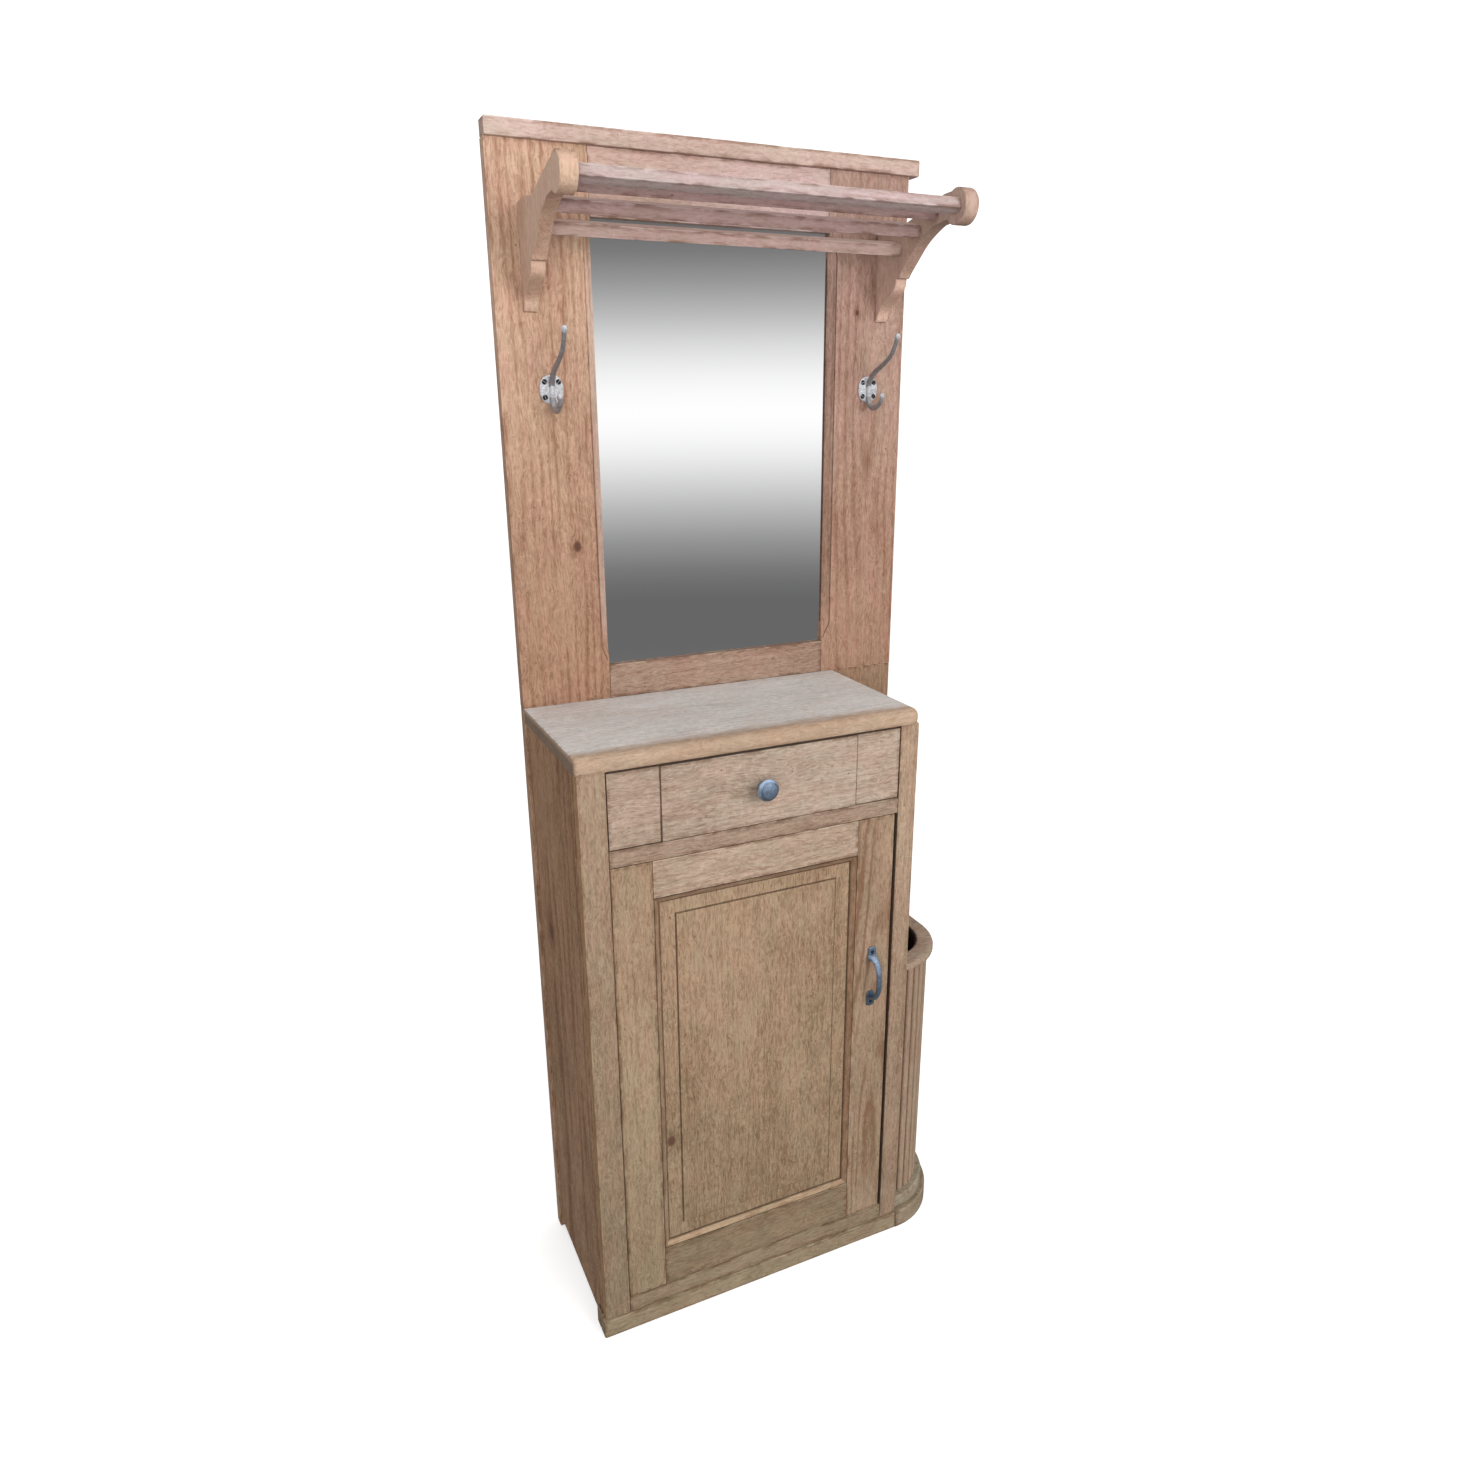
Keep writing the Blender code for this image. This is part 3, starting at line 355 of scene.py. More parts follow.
def backing_board():
    made, tree, shader = new_material("backing")
    place = tree.node("TexCoord", output="Object")
    fibre = tree.noise(place, (40, 400, 400), 4.0, 0.65)
    stain = tree.noise(place, (6, 6, 6), 3.0, 0.5)
    colour = tree.mix(fibre, (0.30, 0.21, 0.13, 1), (0.17, 0.11, 0.07, 1))
    colour = tree.mix(tree.ease(stain, 0.4, 0.7, 0.0, 0.5), colour, (0.11, 0.08, 0.06, 1))
    rough = tree.math("MULTIPLY_ADD", fibre, 0.15, 0.75)
    feed(tree, shader, Base_Color=colour, Roughness=rough, Normal=tree.bump(fibre, 0.4, 0.0004))
    return made


def pin_steel():
    made, tree, shader = new_material("steel")
    place = tree.node("TexCoord", output="Object")
    lathe_marks = tree.noise(place, (60, 60, 2400), 2.0)
    stain = tree.ease(tree.noise(place, (200, 200, 200), 3.0), 0.45, 0.7)
    colour = tree.mix(stain, (0.45, 0.45, 0.46, 1), (0.20, 0.15, 0.12, 1))
    rough = tree.math("MULTIPLY_ADD", stain, 0.25, 0.30)
    feed(tree, shader, Base_Color=colour, Roughness=rough, Normal=tree.bump(lathe_marks, 0.3, 0.0001))
    shader.inputs["Metallic"].default_value = 1.0
    return made


NOT_IN_MIRROR = ("counter_top", "cap_board", "rack_")

MATERIAL = {
    "oak_upper": oak(
        "oak_upper", (1.14, 1.13, 1.12), (0.56, 0.46, 0.40), (1.03, 0.985, 0.985), (0.98, 1.01, 0.96), 0.60
    ),
    "oak_cabinet": oak(
        "oak_cabinet", (1.14, 1.13, 1.11), (0.55, 0.47, 0.41), (1.03, 0.99, 0.97), (0.97, 1.01, 0.98), 0.62
    ),
    "oak_counter": oak(
        "oak_counter",
        (1.12, 1.11, 1.10),
        (0.62, 0.55, 0.48),
        (1.02, 0.995, 0.98),
        (0.98, 1.0, 1.0),
        0.58,
        (1.58, 2.12, 2.90),
    ),
    "oak_inside": oak(
        "oak_inside", (1.12, 1.10, 1.08), (0.60, 0.50, 0.42), (1.03, 1.0, 0.96), (0.97, 1.0, 0.97), 0.70
    ),
    "mirror_silver": mirror_silver(),
    "backing": backing_board(),
    "hook_iron": iron("hook_iron", (0.190, 0.160, 0.155), (0.80, 0.81, 0.85), 0.46, 0.36, 0.60),
    "pull_iron": iron("pull_iron", (0.120, 0.165, 0.225), (0.46, 0.60, 0.82), 0.36, 0.27, 0.85),
    "steel": pin_steel(),
}
# Mean colour of each board, with painted light and shade in it, darker for boards low down or in shade; then
# the painted falloff of light that multiplies it at the low end of its grain, and the tint on its narrow
# sides that stands in for the warmer light falling there
TONE_AND_SHADE = {
    "upper_left_stile": (0.569, 0.385, 0.287),
    "upper_right_stile": (0.423, 0.289, 0.246),
    "upper_bottom_rail": (0.346, 0.243, 0.192),
    "upper_top_rail": (0.590, 0.451, 0.446),
    "cap_board": (0.582, 0.460, 0.413),
    "rack_bracket_left": (0.602, 0.417, 0.325),
    "rack_bracket_right": (0.490, 0.360, 0.305),
    "rack_slat_1": (0.500, 0.403, 0.406),
    "rack_slat_2": (0.395, 0.274, 0.266),
    "rack_slat_3": (0.446, 0.315, 0.304),
    "rack_slat_4": (0.527, 0.388, 0.357),
    "lower_back_board": (0.34, 0.22, 0.15),
    "side_panel_left": (0.297, 0.171, 0.100),
    "side_panel_right": (0.33, 0.23, 0.15),
    "front_stile_left": (0.329, 0.237, 0.172),
    "front_stile_right": (0.376, 0.272, 0.200),
    "drawer_rail": (0.315, 0.230, 0.180),
    "bottom_rail": (0.25, 0.19, 0.13),
    "plinth_front": (0.28, 0.22, 0.15),
    "plinth_return": (0.22, 0.16, 0.11),
    "counter_top": (0.422, 0.307, 0.224),
    "umbrella_shell": (0.33, 0.24, 0.175),
    "umbrella_rim": (0.352, 0.269, 0.211),
    "umbrella_base": (0.279, 0.243, 0.184),
    "umbrella_plinth": (0.270, 0.218, 0.157),
    "drawer_front": (0.405, 0.316, 0.261),
    "door_stile_left": (0.350, 0.254, 0.175),
    "door_stile_right": (0.323, 0.227, 0.160),
    "door_rail_top": (0.405, 0.310, 0.247),
    "door_rail_bottom": (0.235, 0.176, 0.117),
    "door_panel": (0.325, 0.228, 0.154),
    "door_bead_left": (0.32, 0.22, 0.15),
    "door_bead_right": (0.265, 0.165, 0.105),
    "door_bead_bottom": (0.38, 0.28, 0.19),
    "door_bead_top": (0.30, 0.20, 0.135),
    "cabinet_floor": (0.36, 0.26, 0.17),
    "drawer_runner_left": (0.40, 0.28, 0.18),
    "drawer_runner_right": (0.40, 0.28, 0.18),
    "drawer_side_left": (0.46, 0.33, 0.21),
    "drawer_side_right": (0.46, 0.33, 0.21),
    "door_stop": (0.38, 0.27, 0.17),
    "drawer_back": (0.46, 0.33, 0.21),
    "drawer_bottom": (0.48, 0.35, 0.23),
}
PAINTED_FALLOFF = {
    "upper_left_stile": (0.598, 0.535, 0.490),
    "upper_right_stile": (0.818, 0.731, 0.616),
    "upper_top_rail": (0.93, 0.88, 0.78),
    "rack_bracket_right": (1.35, 1.32, 1.30),
    "front_stile_left": (0.80, 0.84, 0.80),
    "door_stile_left": (0.78, 0.82, 0.78),
    "door_stile_right": (0.95, 0.98, 0.98),
    "door_panel": (0.86, 0.88, 0.86),
    "side_panel_left": (0.90, 0.95, 0.95),
    "front_stile_right": (0.74, 0.73, 0.71),
}
FLANK_LIGHT_TINT = {
    "front_stile_left": (1.02, 0.84, 0.64),
}
PLAIN = (1.0, 1.0, 1.0)
NO_KNOT = (9.0, 9.0, 0.001)
# The umbrella stand: its plinth's and its wall's outer radius, and its length out from the back panel
PLINTH_RADIUS = 0.1195
WALL_RADIUS = 0.100
STAND_LENGTH = 0.155
REEDS = 18
made_count = 0


# ---------------------------------------------------------------- building


def to_object(name, shape, sharp=35):
    mesh = bpy.data.meshes.new(name)
    bmesh.ops.recalc_face_normals(shape, faces=shape.faces)
    shape.to_mesh(mesh)
    shape.free()
    mesh.shade_smooth()
    mesh.set_sharp_from_angle(angle=math.radians(sharp))
    obj = bpy.data.objects.new(name, mesh)
    bpy.context.scene.collection.objects.link(obj)
    return obj


def settle(obj, *nodes):
    """The piece stands for these CAD nodes, rides on their body and takes their finish."""
    slot = SLOT[nodes[0]]
    obj.data.materials.append(MATERIAL[slot])
    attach(obj, NODES[nodes[0]]["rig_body"])
    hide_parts(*nodes)
    return obj


def wooden(
    node,
    shape,
    axes,
    pith=(0.22, 0.06, 0.0),
    rings=(0.12, 0.0088),
    knot=NO_KNOT,
    look=(1, 1, 1),
    soot=None,
    matrix=None,
):
    """A board's object. axes names the frame's axes along, across and through the grain.

    rings is how strongly they show and how far apart they are; look is wear, grime and contrast;
    soot says how dark each point is painted: shade in grooves, gaps, corners and undersides, dirt at joints,
    and below 0 a paler lit face.
    """
    global made_count
    made_count += 1
    obj = to_object(f"{node}_oak", shape)
    mesh = obj.data
    low = Vector([min(v.co[i] for v in mesh.vertices) for i in range(3)])
    high = Vector([max(v.co[i] for v in mesh.vertices) for i in range(3)])
    order = ["xyz".index(axis) for axis in axes]
    middle = (low + high) / 2
    local = mesh.attributes.new("local", "FLOAT_VECTOR", "POINT")
    for vert, item in zip(mesh.vertices, local.data):
        item.vector = [vert.co[i] - middle[i] for i in order]
    # Per point: painted shade in grooves, gaps, corners and undersides, dirt at joints, and below 0 a paler
    # painted light.
    dirt = mesh.attributes.new("soot", "FLOAT", "POINT")
    for vert, item in zip(mesh.vertices, dirt.data):
        item.value = soot(vert.co) if soot else 0.0
    end = mesh.attributes.new("end", "FLOAT", "FACE")
    for face, item in zip(mesh.polygons, end.data):
        item.value = abs(face.normal[order[0]])
    flank = mesh.attributes.new("flank", "FLOAT", "FACE")
    for face, item in zip(mesh.polygons, flank.data):
        item.value = abs(face.normal[order[1]])
    obj["half"] = [(high[i] - low[i]) / 2 for i in order]
    obj["seed"] = [1.37 * made_count, 2.71 * made_count % 5.0, 0.83 * made_count % 3.0]
    obj["tone_and_shade"] = list(TONE_AND_SHADE[node])
    obj["painted_falloff"] = list(PAINTED_FALLOFF.get(node, PLAIN))
    obj["flank_light_tint"] = list(FLANK_LIGHT_TINT.get(node, PLAIN))
    obj["rings"] = [*rings, 0.0]
    obj["pith"] = list(pith)
    obj["knot"] = list(knot)
    obj["look"] = list(map(float, look))
    if matrix:
        obj.matrix_world = matrix
    obj.visible_glossy = not node.startswith(NOT_IN_MIRROR)
    weighted = obj.modifiers.new("flat faces", "WEIGHTED_NORMAL")
    weighted.keep_sharp = True
    return settle(obj, node)


def soften(shape, radius, segments=2, angle=30):
    sharp = [e for e in shape.edges if e.is_manifold and e.calc_face_angle() > math.radians(angle)]
    options = {"offset": radius, "segments": segments, "profile": 0.5}
    bmesh.ops.bevel(shape, geom=sharp, affect="EDGES", clamp_overlap=True, **options)


def wobble(shape, amount=0.0003):
    """Old boards are never quite straight."""
    for vert in shape.verts:
        vert.co += amount * noise.noise_vector(vert.co * 9.0)


def cut_across(shape, axis, step):
    """Loops across the length, so that the board can bend."""
    places = [vert.co[axis] for vert in shape.verts]
    low, high = min(places), max(places)
    count = int((high - low) / step)
    normal = Vector([float(i == axis) for i in range(3)])
    for i in range(1, count):
        point = normal * (low + (high - low) * i / count)
        everything = [*shape.verts, *shape.edges, *shape.faces]
        bmesh.ops.bisect_plane(shape, geom=everything, plane_co=point, plane_no=normal)


def box_shape(low, high):
    shape = bmesh.new()
    bmesh.ops.create_cube(shape, size=1)
    bmesh.ops.scale(shape, vec=high - low, verts=shape.verts)
    bmesh.ops.translate(shape, vec=(low + high) / 2, verts=shape.verts)
    return shape


def shade_and_dirt_faces(node, sides, amount=0.8):
    """Darkens the named faces of a board's box, such as "x+" for the face on its right: painted shade in gaps
    and on a side turned from the light, dirt at joints, and a darker bottom edge.
    """
    low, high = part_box(node)

    def soot(point):
        for side in sides:
            axis = "xyz".index(side[0])
            if abs(point[axis] - (high if side[1] == "+" else low)[axis]) < 0.0006:
                return amount
        return 0.0

    return soot


def plank(node, axes, radius=0.0011, **wood):
    low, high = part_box(node)
    shape = box_shape(low, high)
    cut_across(shape, "xyz".index(axes[0]), 0.06)
    soften(shape, radius)
    wobble(shape)
    return wooden(node, shape, axes, **wood)


def add_loft(shape, rows, capped=True):
    """Skins a run of loops that all have the same number of points."""
    rings = [[shape.verts.new(point) for point in row] for row in rows]
    for near, far in zip(rings, rings[1:]):
        for i in range(len(near)):
            j = (i + 1) % len(near)
            shape.faces.new((near[i], near[j], far[j], far[i]))
    if capped:
        shape.faces.new(list(reversed(rings[0])))
        shape.faces.new(rings[-1])
    return [vert for ring in rings for vert in ring]


def loft(rows):
    shape = bmesh.new()
    add_loft(shape, rows)
    bmesh.ops.dissolve_degenerate(shape, edges=shape.edges, dist=0.00002)
    bmesh.ops.recalc_face_normals(shape, faces=shape.faces)
    return shape


def spread(start, end, step):
    count = max(1, round(abs(end - start) / step))
    return [start + (end - start) * i / count for i in range(count + 1)]


def smooth_path(points, steps=6):
    """A Catmull-Rom curve through the points."""
    points = [Vector(p) for p in points]
    ends = [2 * points[0] - points[1], *points, 2 * points[-1] - points[-2]]
    path = []
    for a, b, c, d in zip(ends, ends[1:], ends[2:], ends[3:]):
        for step in range(steps):
            t = step / steps
            bend = (2 * a - 5 * b + 4 * c - d) * t**2 + (3 * b - a - 3 * c + d) * t**3
            path.append(0.5 * (2 * b + (c - a) * t + bend))
    return [*path, points[-1]]


def arc(centre, radius, start, end, steps):
    turns = (math.radians(start + (end - start) * i / steps) for i in range(steps + 1))
    return [(centre[0] + radius * math.cos(t), centre[1] + radius * math.sin(t)) for t in turns]


# ---------------------------------------------------------------- upper frame


def stile(node, side, chamfer_width, chamfer_depth, chamfer_soot, **wood):
    """side is 1 where the glass lies to the right of the stile, and -1 where it lies to the left."""
    low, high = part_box(node)
    glass_low, glass_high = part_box("mirror_glass")
    rail_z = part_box("upper_bottom_rail")[1].z
    top_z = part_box("upper_top_rail")[0].z
    inner = high.x if side > 0 else low.x
    outer = low.x if side > 0 else high.x
    notch_x = glass_low.x if side > 0 else glass_high.x
    lap_y = glass_low.y - 0.0003
    stop = 0.003
    tongue = 0.034
    levels = [low.z, *spread(low.z + 0.03, glass_low.z - 0.001, 0.03)]
    levels += [glass_low.z - 0.0009, *spread(rail_z + 0.002, rail_z + stop + tongue, 0.0025)]
    levels += spread(rail_z + stop + tongue + 0.03, top_z - stop - tongue - 0.03, 0.04)
    levels += [*spread(top_z - stop - tongue, top_z - 0.002, 0.0025), glass_high.z + 0.0009]
    levels += [glass_high.z + 0.001, *spread(glass_high.z + 0.02, high.z, 0.03)]
    rows = []

    def nearness(z):
        return min(z - rail_z - stop, top_z - stop - z) / tongue

    def chamfer_share(z):
        near = nearness(z)
        rise = min(1.0, max(0.0, near))
        share = 0.07 + 0.93 * (rise * rise * (3 - 2 * rise))
        if 0.0 < near < 0.22:
            share -= 0.05 * math.sin(math.pi * near / 0.22)
        return rise, share

    for z in levels:
        notched = glass_low.z - 0.00095 < z < glass_high.z + 0.00095
        rise, share = chamfer_share(z)
        width = chamfer_width * share
        depth = chamfer_depth * share
        lap = lap_y if notched else low.y + chamfer_depth + 0.002
        foot_x = notch_x if notched else inner
        quirk = 0.0014 * min(1.0, rise * 4)
        rows.append(
            [
                (outer, low.y, z),
                (inner - side * (width + 0.0028), low.y, z),
                (inner - side * (width + 0.0014), low.y + quirk, z),
                (inner - side * width, low.y + 0.0002, z),
                (inner, low.y + depth, z),
                (inner, lap, z),
                (foot_x, lap if notched else lap + 0.001, z),
                (foot_x, high.y, z),
                (outer, high.y, z),
            ]
        )
    shape = loft(rows)
    soften(shape, 0.0008, 2, 50)
    wobble(shape, 0.00025)

    # Painted shade in the quirk and in the rebate along the glass's edge; on the chamfer, painted shade where
    # the chamfer's argument is above 0, as on the right stile, and a paler painted light where it is below 0,
    # as on the left stile.
    def soot(point):
        near = nearness(point.z)
        aside = abs(point.x - inner)
        rise, share = chamfer_share(point.z)
        in_quirk = abs(aside - chamfer_width * share - 0.0014) < 0.0011 and point.y > low.y + 0.0003
        if in_quirk and rise > 0.05:
            return 0.40 if chamfer_soot < 0 else 0.85
        if near < 0.999:
            return 0.0
        if aside < 0.0006 and point.y > low.y + chamfer_depth + 0.0015:
            return 0.8
        on_chamfer = aside < chamfer_width + 0.0004 and point.y < low.y + chamfer_depth + 0.0006
        return chamfer_soot * on_chamfer * min(1.0, near - 0.999)

    return wooden(node, shape, "zxy", soot=soot, **wood)


def frame_rail(node, glass_above, **wood):
    low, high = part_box(node)
    glass_low, glass_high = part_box("mirror_glass")
    edge = high.z if glass_above else low.z
    far = low.z if glass_above else high.z
    notch = glass_low.z - 0.001 if glass_above else glass_high.z + 0.001
    lap = glass_low.y - 0.0003
    rows = []
    for x in spread(low.x, high.x, 0.05):
        section = ((low.y, far), (low.y, edge), (lap, edge), (lap, notch), (high.y, notch), (high.y, far))
        rows.append([(x, y, z) for y, z in section])
    shape = loft(rows)
    soften(shape, 0.0011)
    wobble(shape, 0.0002)
    return wooden(node, shape, "xzy", **wood)


def cap(**wood):
    low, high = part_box("cap_board")
    corner = arc((high.x - 0.008, low.y + 0.008), 0.008, -90, 0, 6)
    outline = [(low.x, high.y), (low.x, low.y), *corner, (high.x, high.y)]
    rows = [[(x, y, z) for x, y in outline] for z in (low.z, high.z)]
    shape = loft(rows)
    cut_across(shape, 0, 0.06)
    soften(shape, 0.0022, 3)
    wobble(shape, 0.0004)
    return wooden("cap_board", shape, "xyz", **wood)


# ---------------------------------------------------------------- hat rack


def bracket(node, outward, **wood):
    """A shaped board with a scooped neck, a round nose and a stepped foot; sizes are from its box."""
    low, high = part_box(node)
    wall = high.y
    top = high.z
    nose = (low.y + 0.0255, 1.7952)
    flat_top = 1.795
    scoop = [(-0.055, flat_top), (-0.062, 1.7935), (-0.071, 1.7905), (-0.080, 1.7905), (-0.090, 1.7930)]
    crest = [(-0.105, 1.7970), (-0.120, 1.8010), (-0.150, 1.8085), (-0.180, 1.8165)]
    neck = smooth_path([(y, z, 0) for y, z in [*scoop, *crest]], 3)
    belly = [(-0.185, 1.7830), (-0.161, 1.7770), (-0.136, 1.7670)]
    belly += [(-0.115, 1.7550), (-0.094, 1.7375), (-0.073, 1.7190)]
    under = smooth_path([(y, z, 0) for y, z in belly], 3)
    foot = [(-0.059, 1.7030), (-0.052, 1.6930), (-0.038, 1.6840)]
    foot += [(-0.022, 1.6750), (-0.011, 1.6640), (-0.0035, 1.6500)]
    sweep = smooth_path([(y, z, 0) for y, z in foot], 3)
    outline = [(-0.0003, flat_top)]
    outline += [(p.x, p.y) for p in neck]
    outline += [(y - wall, z) for y, z in arc(nose, 0.0250, 62, 322, 26)]
    outline += [(p.x, p.y) for p in under[3:]]
    outline += [(-0.067, 1.7120), (-0.060, 1.7120)]
    outline += [(p.x, p.y) for p in sweep]
    outline += [(-0.0003, 1.6495)]
    board_low = low.x + (0.003 if outward < 0 else 0)
    board_high = high.x - (0.003 if outward > 0 else 0)
    rows = [[(x, y + wall, min(z, top)) for y, z in outline] for x in (board_low, board_high)]
    shape = loft(rows)
    soften(shape, 0.0013, 2, 38)
    edge = low.x if outward < 0 else high.x
    inner = edge - outward * 0.0245
    profile = [(0.0240, 0.0), (0.0255, 0.0012), (0.0255, 0.0212)]
    profile += [(0.0250, 0.0232), (0.0238, 0.0243), (0.0140, 0.0245)]
    rows = []
    for radius, out in profile:
        ring = arc(nose, radius, 0, 360 * 47 / 48, 47)
        rows.append([(inner + outward * out, y, z) for y, z in ring])
    add_loft(shape, rows)
    wobble(shape, 0.0003)
    return wooden(node, shape, "zyx", **wood)


def slats():
    """Four bars between the brackets, each tilted; places are (y, z, depth, tilt) from front to back."""
    bars = (
        (-0.2165, 1.7947, 0.0175, -25),
        (-0.1560, 1.7950, 0.0300, 17),
        (-0.1107, 1.7768, 0.0300, 17),
        (-0.0612, 1.7563, 0.0300, 17),
    )
    wall_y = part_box("upper_left_stile")[0].y

    # Painted shade on each bar's underside.
    def underside_shade(point):
        return 0.20 * (point.z < -0.0078)

    for number, (y, z, depth, tilt) in enumerate(bars, 1):
        node = f"rack_slat_{number}"
        low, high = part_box(node)
        half = Vector((high.x - low.x, depth, 0.0175)) / 2
        shape = box_shape(-half, half)
        cut_across(shape, 0, 0.05)
        soften(shape, 0.0018)
        wobble(shape, 0.0005)
        place = Matrix.Translation(((low.x + high.x) / 2, y + wall_y, z))
        matrix = place @ Matrix.Rotation(math.radians(tilt), 4, "X")
        wooden(node, shape, "xzy", pith=(0.10, 0.03, 0.01), look=(2, 1, 0.55), soot=underside_shade, matrix=matrix)


# ---------------------------------------------------------------- iron


def new_casting():
    shape = bmesh.new()
    shape.verts.layers.float.new("polish_and_sheen")
    return shape


def polished(shape, verts, value):
    layer = shape.verts.layers.float["polish_and_sheen"]
    for vert in verts:
        vert[layer] = value


def add_bar(shape, points, radii, wide=1.0, sides=14, steps=6):
    """A round bar along a path in a plane of constant x, with flat caps at its ends; radii are at the given
    points.
    """
    path = smooth_path(points, steps)
    rows = []
    for index, place in enumerate(path):
        along = index / (len(path) - 1) * (len(radii) - 1)
        first = min(int(along), len(radii) - 2)
        radius = radii[first] + (radii[first + 1] - radii[first]) * (along - first)
        before = path[max(index - 1, 0)]
        after = path[min(index + 1, len(path) - 1)]
        forward = (after - before).normalized()
        across = Vector((1, 0, 0))
        up = forward.cross(across).normalized()
        breadth = wide(index / (len(path) - 1)) if callable(wide) else wide
        ring = []
        for side in range(sides):
            turn = 2 * math.pi * side / sides
            ring.append(place + up * radius * math.cos(turn) + across * radius * breadth * math.sin(turn))
        rows.append(ring)
    return add_loft(shape, rows)


def add_ball(shape, place, size):
    made = bmesh.ops.create_uvsphere(shape, u_segments=18, v_segments=12, radius=1)
    bmesh.ops.scale(shape, vec=size, verts=made["verts"])
    bmesh.ops.translate(shape, vec=place, verts=made["verts"])
    return made["verts"]


def add_screw_head(shape, place, radius, height, tilt):
    """A domed head in two halves with the slot between them; it faces the room."""
    verts = []
    for side in (-1, 1):
        rows = []
        for share, out in ((1.0, 0.0), (0.97, 0.35), (0.82, 0.72), (0.55, 0.93), (0.12, 1.0)):
            row = []
            for step in range(13):
                turn = math.pi * step / 12
                u = max(0.10, math.sin(turn) * share) * side
                v = math.cos(turn) * share
                a = u * math.cos(tilt) - v * math.sin(tilt)
                b = u * math.sin(tilt) + v * math.cos(tilt)
                row.append(Vector(place) + Vector((a * radius, -out * height, b * radius)))
            rows.append(row)
        verts += add_loft(shape, rows)
    return verts


def coat_hook(node, tilt):
    low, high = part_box(node)
    x = (low.x + high.x) / 2
    wall = high.y
    z = 1.5415
    shape = new_casting()
    dome = [(0.96, 0.0), (1.0, 0.0009), (1.0, 0.0022), (0.955, 0.0031)]
    dome += [(0.85, 0.0035), (0.5, 0.0037), (0.1, 0.0038)]
    rows = []
    for share, out in dome:
        ring = []
        for step in range(48):
            turn = 2 * math.pi * step / 48
            power = 2 / 2.35
            u = math.copysign(abs(math.cos(turn)) ** power, math.cos(turn)) * 0.0185
            v = math.copysign(abs(math.sin(turn)) ** power, math.sin(turn)) * 0.0210
            ring.append((x + u * share, wall - out, z + v * share))
        rows.append(ring)
    polished(shape, add_loft(shape, rows), 1.0)
    rib = [(-0.0030, 0.0190), (-0.0052, 0.0120), (-0.0056, 0.0), (-0.0056, -0.0110), (-0.0036, -0.0205)]
    rib = [(x, wall + y, z + up) for y, up in rib]
    polished(shape, add_bar(shape, rib, (0.0024, 0.0032, 0.0032, 0.0032, 0.0026), 1.15), 0.95)
    upper = [(-0.0035, 0.0050), (-0.0075, 0.0130), (-0.0200, 0.0255), (-0.0450, 0.0375), (-0.0680, 0.0500)]
    upper += [(-0.0810, 0.0650), (-0.0870, 0.0790)]
    upper = [(x, wall + y, z + up) for y, up in upper]
    polished(shape, add_bar(shape, upper, (0.0048, 0.0046, 0.0042, 0.0038, 0.0035, 0.0033, 0.0036)), 0.28)
    tip = add_ball(shape, (x, wall - 0.0875, z + 0.0800), (0.0050, 0.0052, 0.0056))
    polished(shape, tip, 0.85)
    lower = [(-0.0040, -0.0120), (-0.0100, -0.0255), (-0.0215, -0.0305), (-0.0360, -0.0270)]
    lower += [(-0.0450, -0.0200), (-0.0475, -0.0110)]
    lower = [(x, wall + y, z + up) for y, up in lower]
    polished(shape, add_bar(shape, lower, (0.0044, 0.0046, 0.0044, 0.0040, 0.0037, 0.0034)), 0.34)
    tip = add_ball(shape, (x, wall - 0.0475, z - 0.0105), (0.0044, 0.0044, 0.0048))
    polished(shape, tip, 0.95)
    for number, (side, up) in enumerate(((-1, -1), (-1, 1), (1, -1), (1, 1))):
        place = (x + side * 0.0108, wall - 0.0033, z + up * 0.0112)
        head = add_screw_head(shape, place, 0.0041, 0.0011, tilt + 0.7 * number)
        polished(shape, head, -0.85)
    return settle(to_object(f"{node}_iron", shape), node)


def turned(shape, centre, profile, sides=56):
    """Turns (radius, reach into the room) round an axis along y."""
    rows = []
    for radius, out in profile:
        ring = arc((centre.x, centre.z), radius, 0, 360 * (sides - 1) / sides, sides - 1)
        rows.append([(x, centre.y - out, z) for x, z in ring])
    return add_loft(shape, rows)


def knob():
    low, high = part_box("drawer_knob")
    centre = Vector(((low.x + high.x) / 2, high.y, (low.z + high.z) / 2))
    reach = high.y - low.y
    radius = (high.x - low.x) / 2
    rim = reach - 0.0100
    profile = [(0.0088, 0.0), (0.0090, 0.0016), (0.0078, 0.0036), (0.0062, 0.0062), (0.0064, rim - 0.0075)]
    profile += [(0.0100, rim - 0.0045), (radius - 0.0016, rim - 0.0030), (radius - 0.0002, rim - 0.0012)]
    profile += [(radius, rim), (radius - 0.0004, rim + 0.0014), (radius - 0.0018, rim + 0.0032)]
    profile += [(0.0140, reach - 0.0045), (0.0110, reach - 0.0024), (0.0070, reach - 0.0009)]
    profile += [(0.0030, reach - 0.0002), (0.0004, reach)]
    shape = new_casting()
    layer = shape.verts.layers.float["polish_and_sheen"]
    for vert in turned(shape, centre, profile):
        # Painted highlight and shade: lighter towards the top and on the upper rim, darker towards the bottom
        # and in a ring round the dome.
        up = (vert.co.z - centre.z - 0.35 * (vert.co.x - centre.x)) / radius
        out = math.hypot(vert.co.x - centre.x, vert.co.z - centre.z) / radius
        vert[layer] = 0.50 + 0.30 * up + 0.55 * (out > 0.86 and up > -0.1) - 0.35 * (0.62 < out < 0.80)
    return settle(to_object("drawer_knob_iron", shape, 60), "drawer_knob")


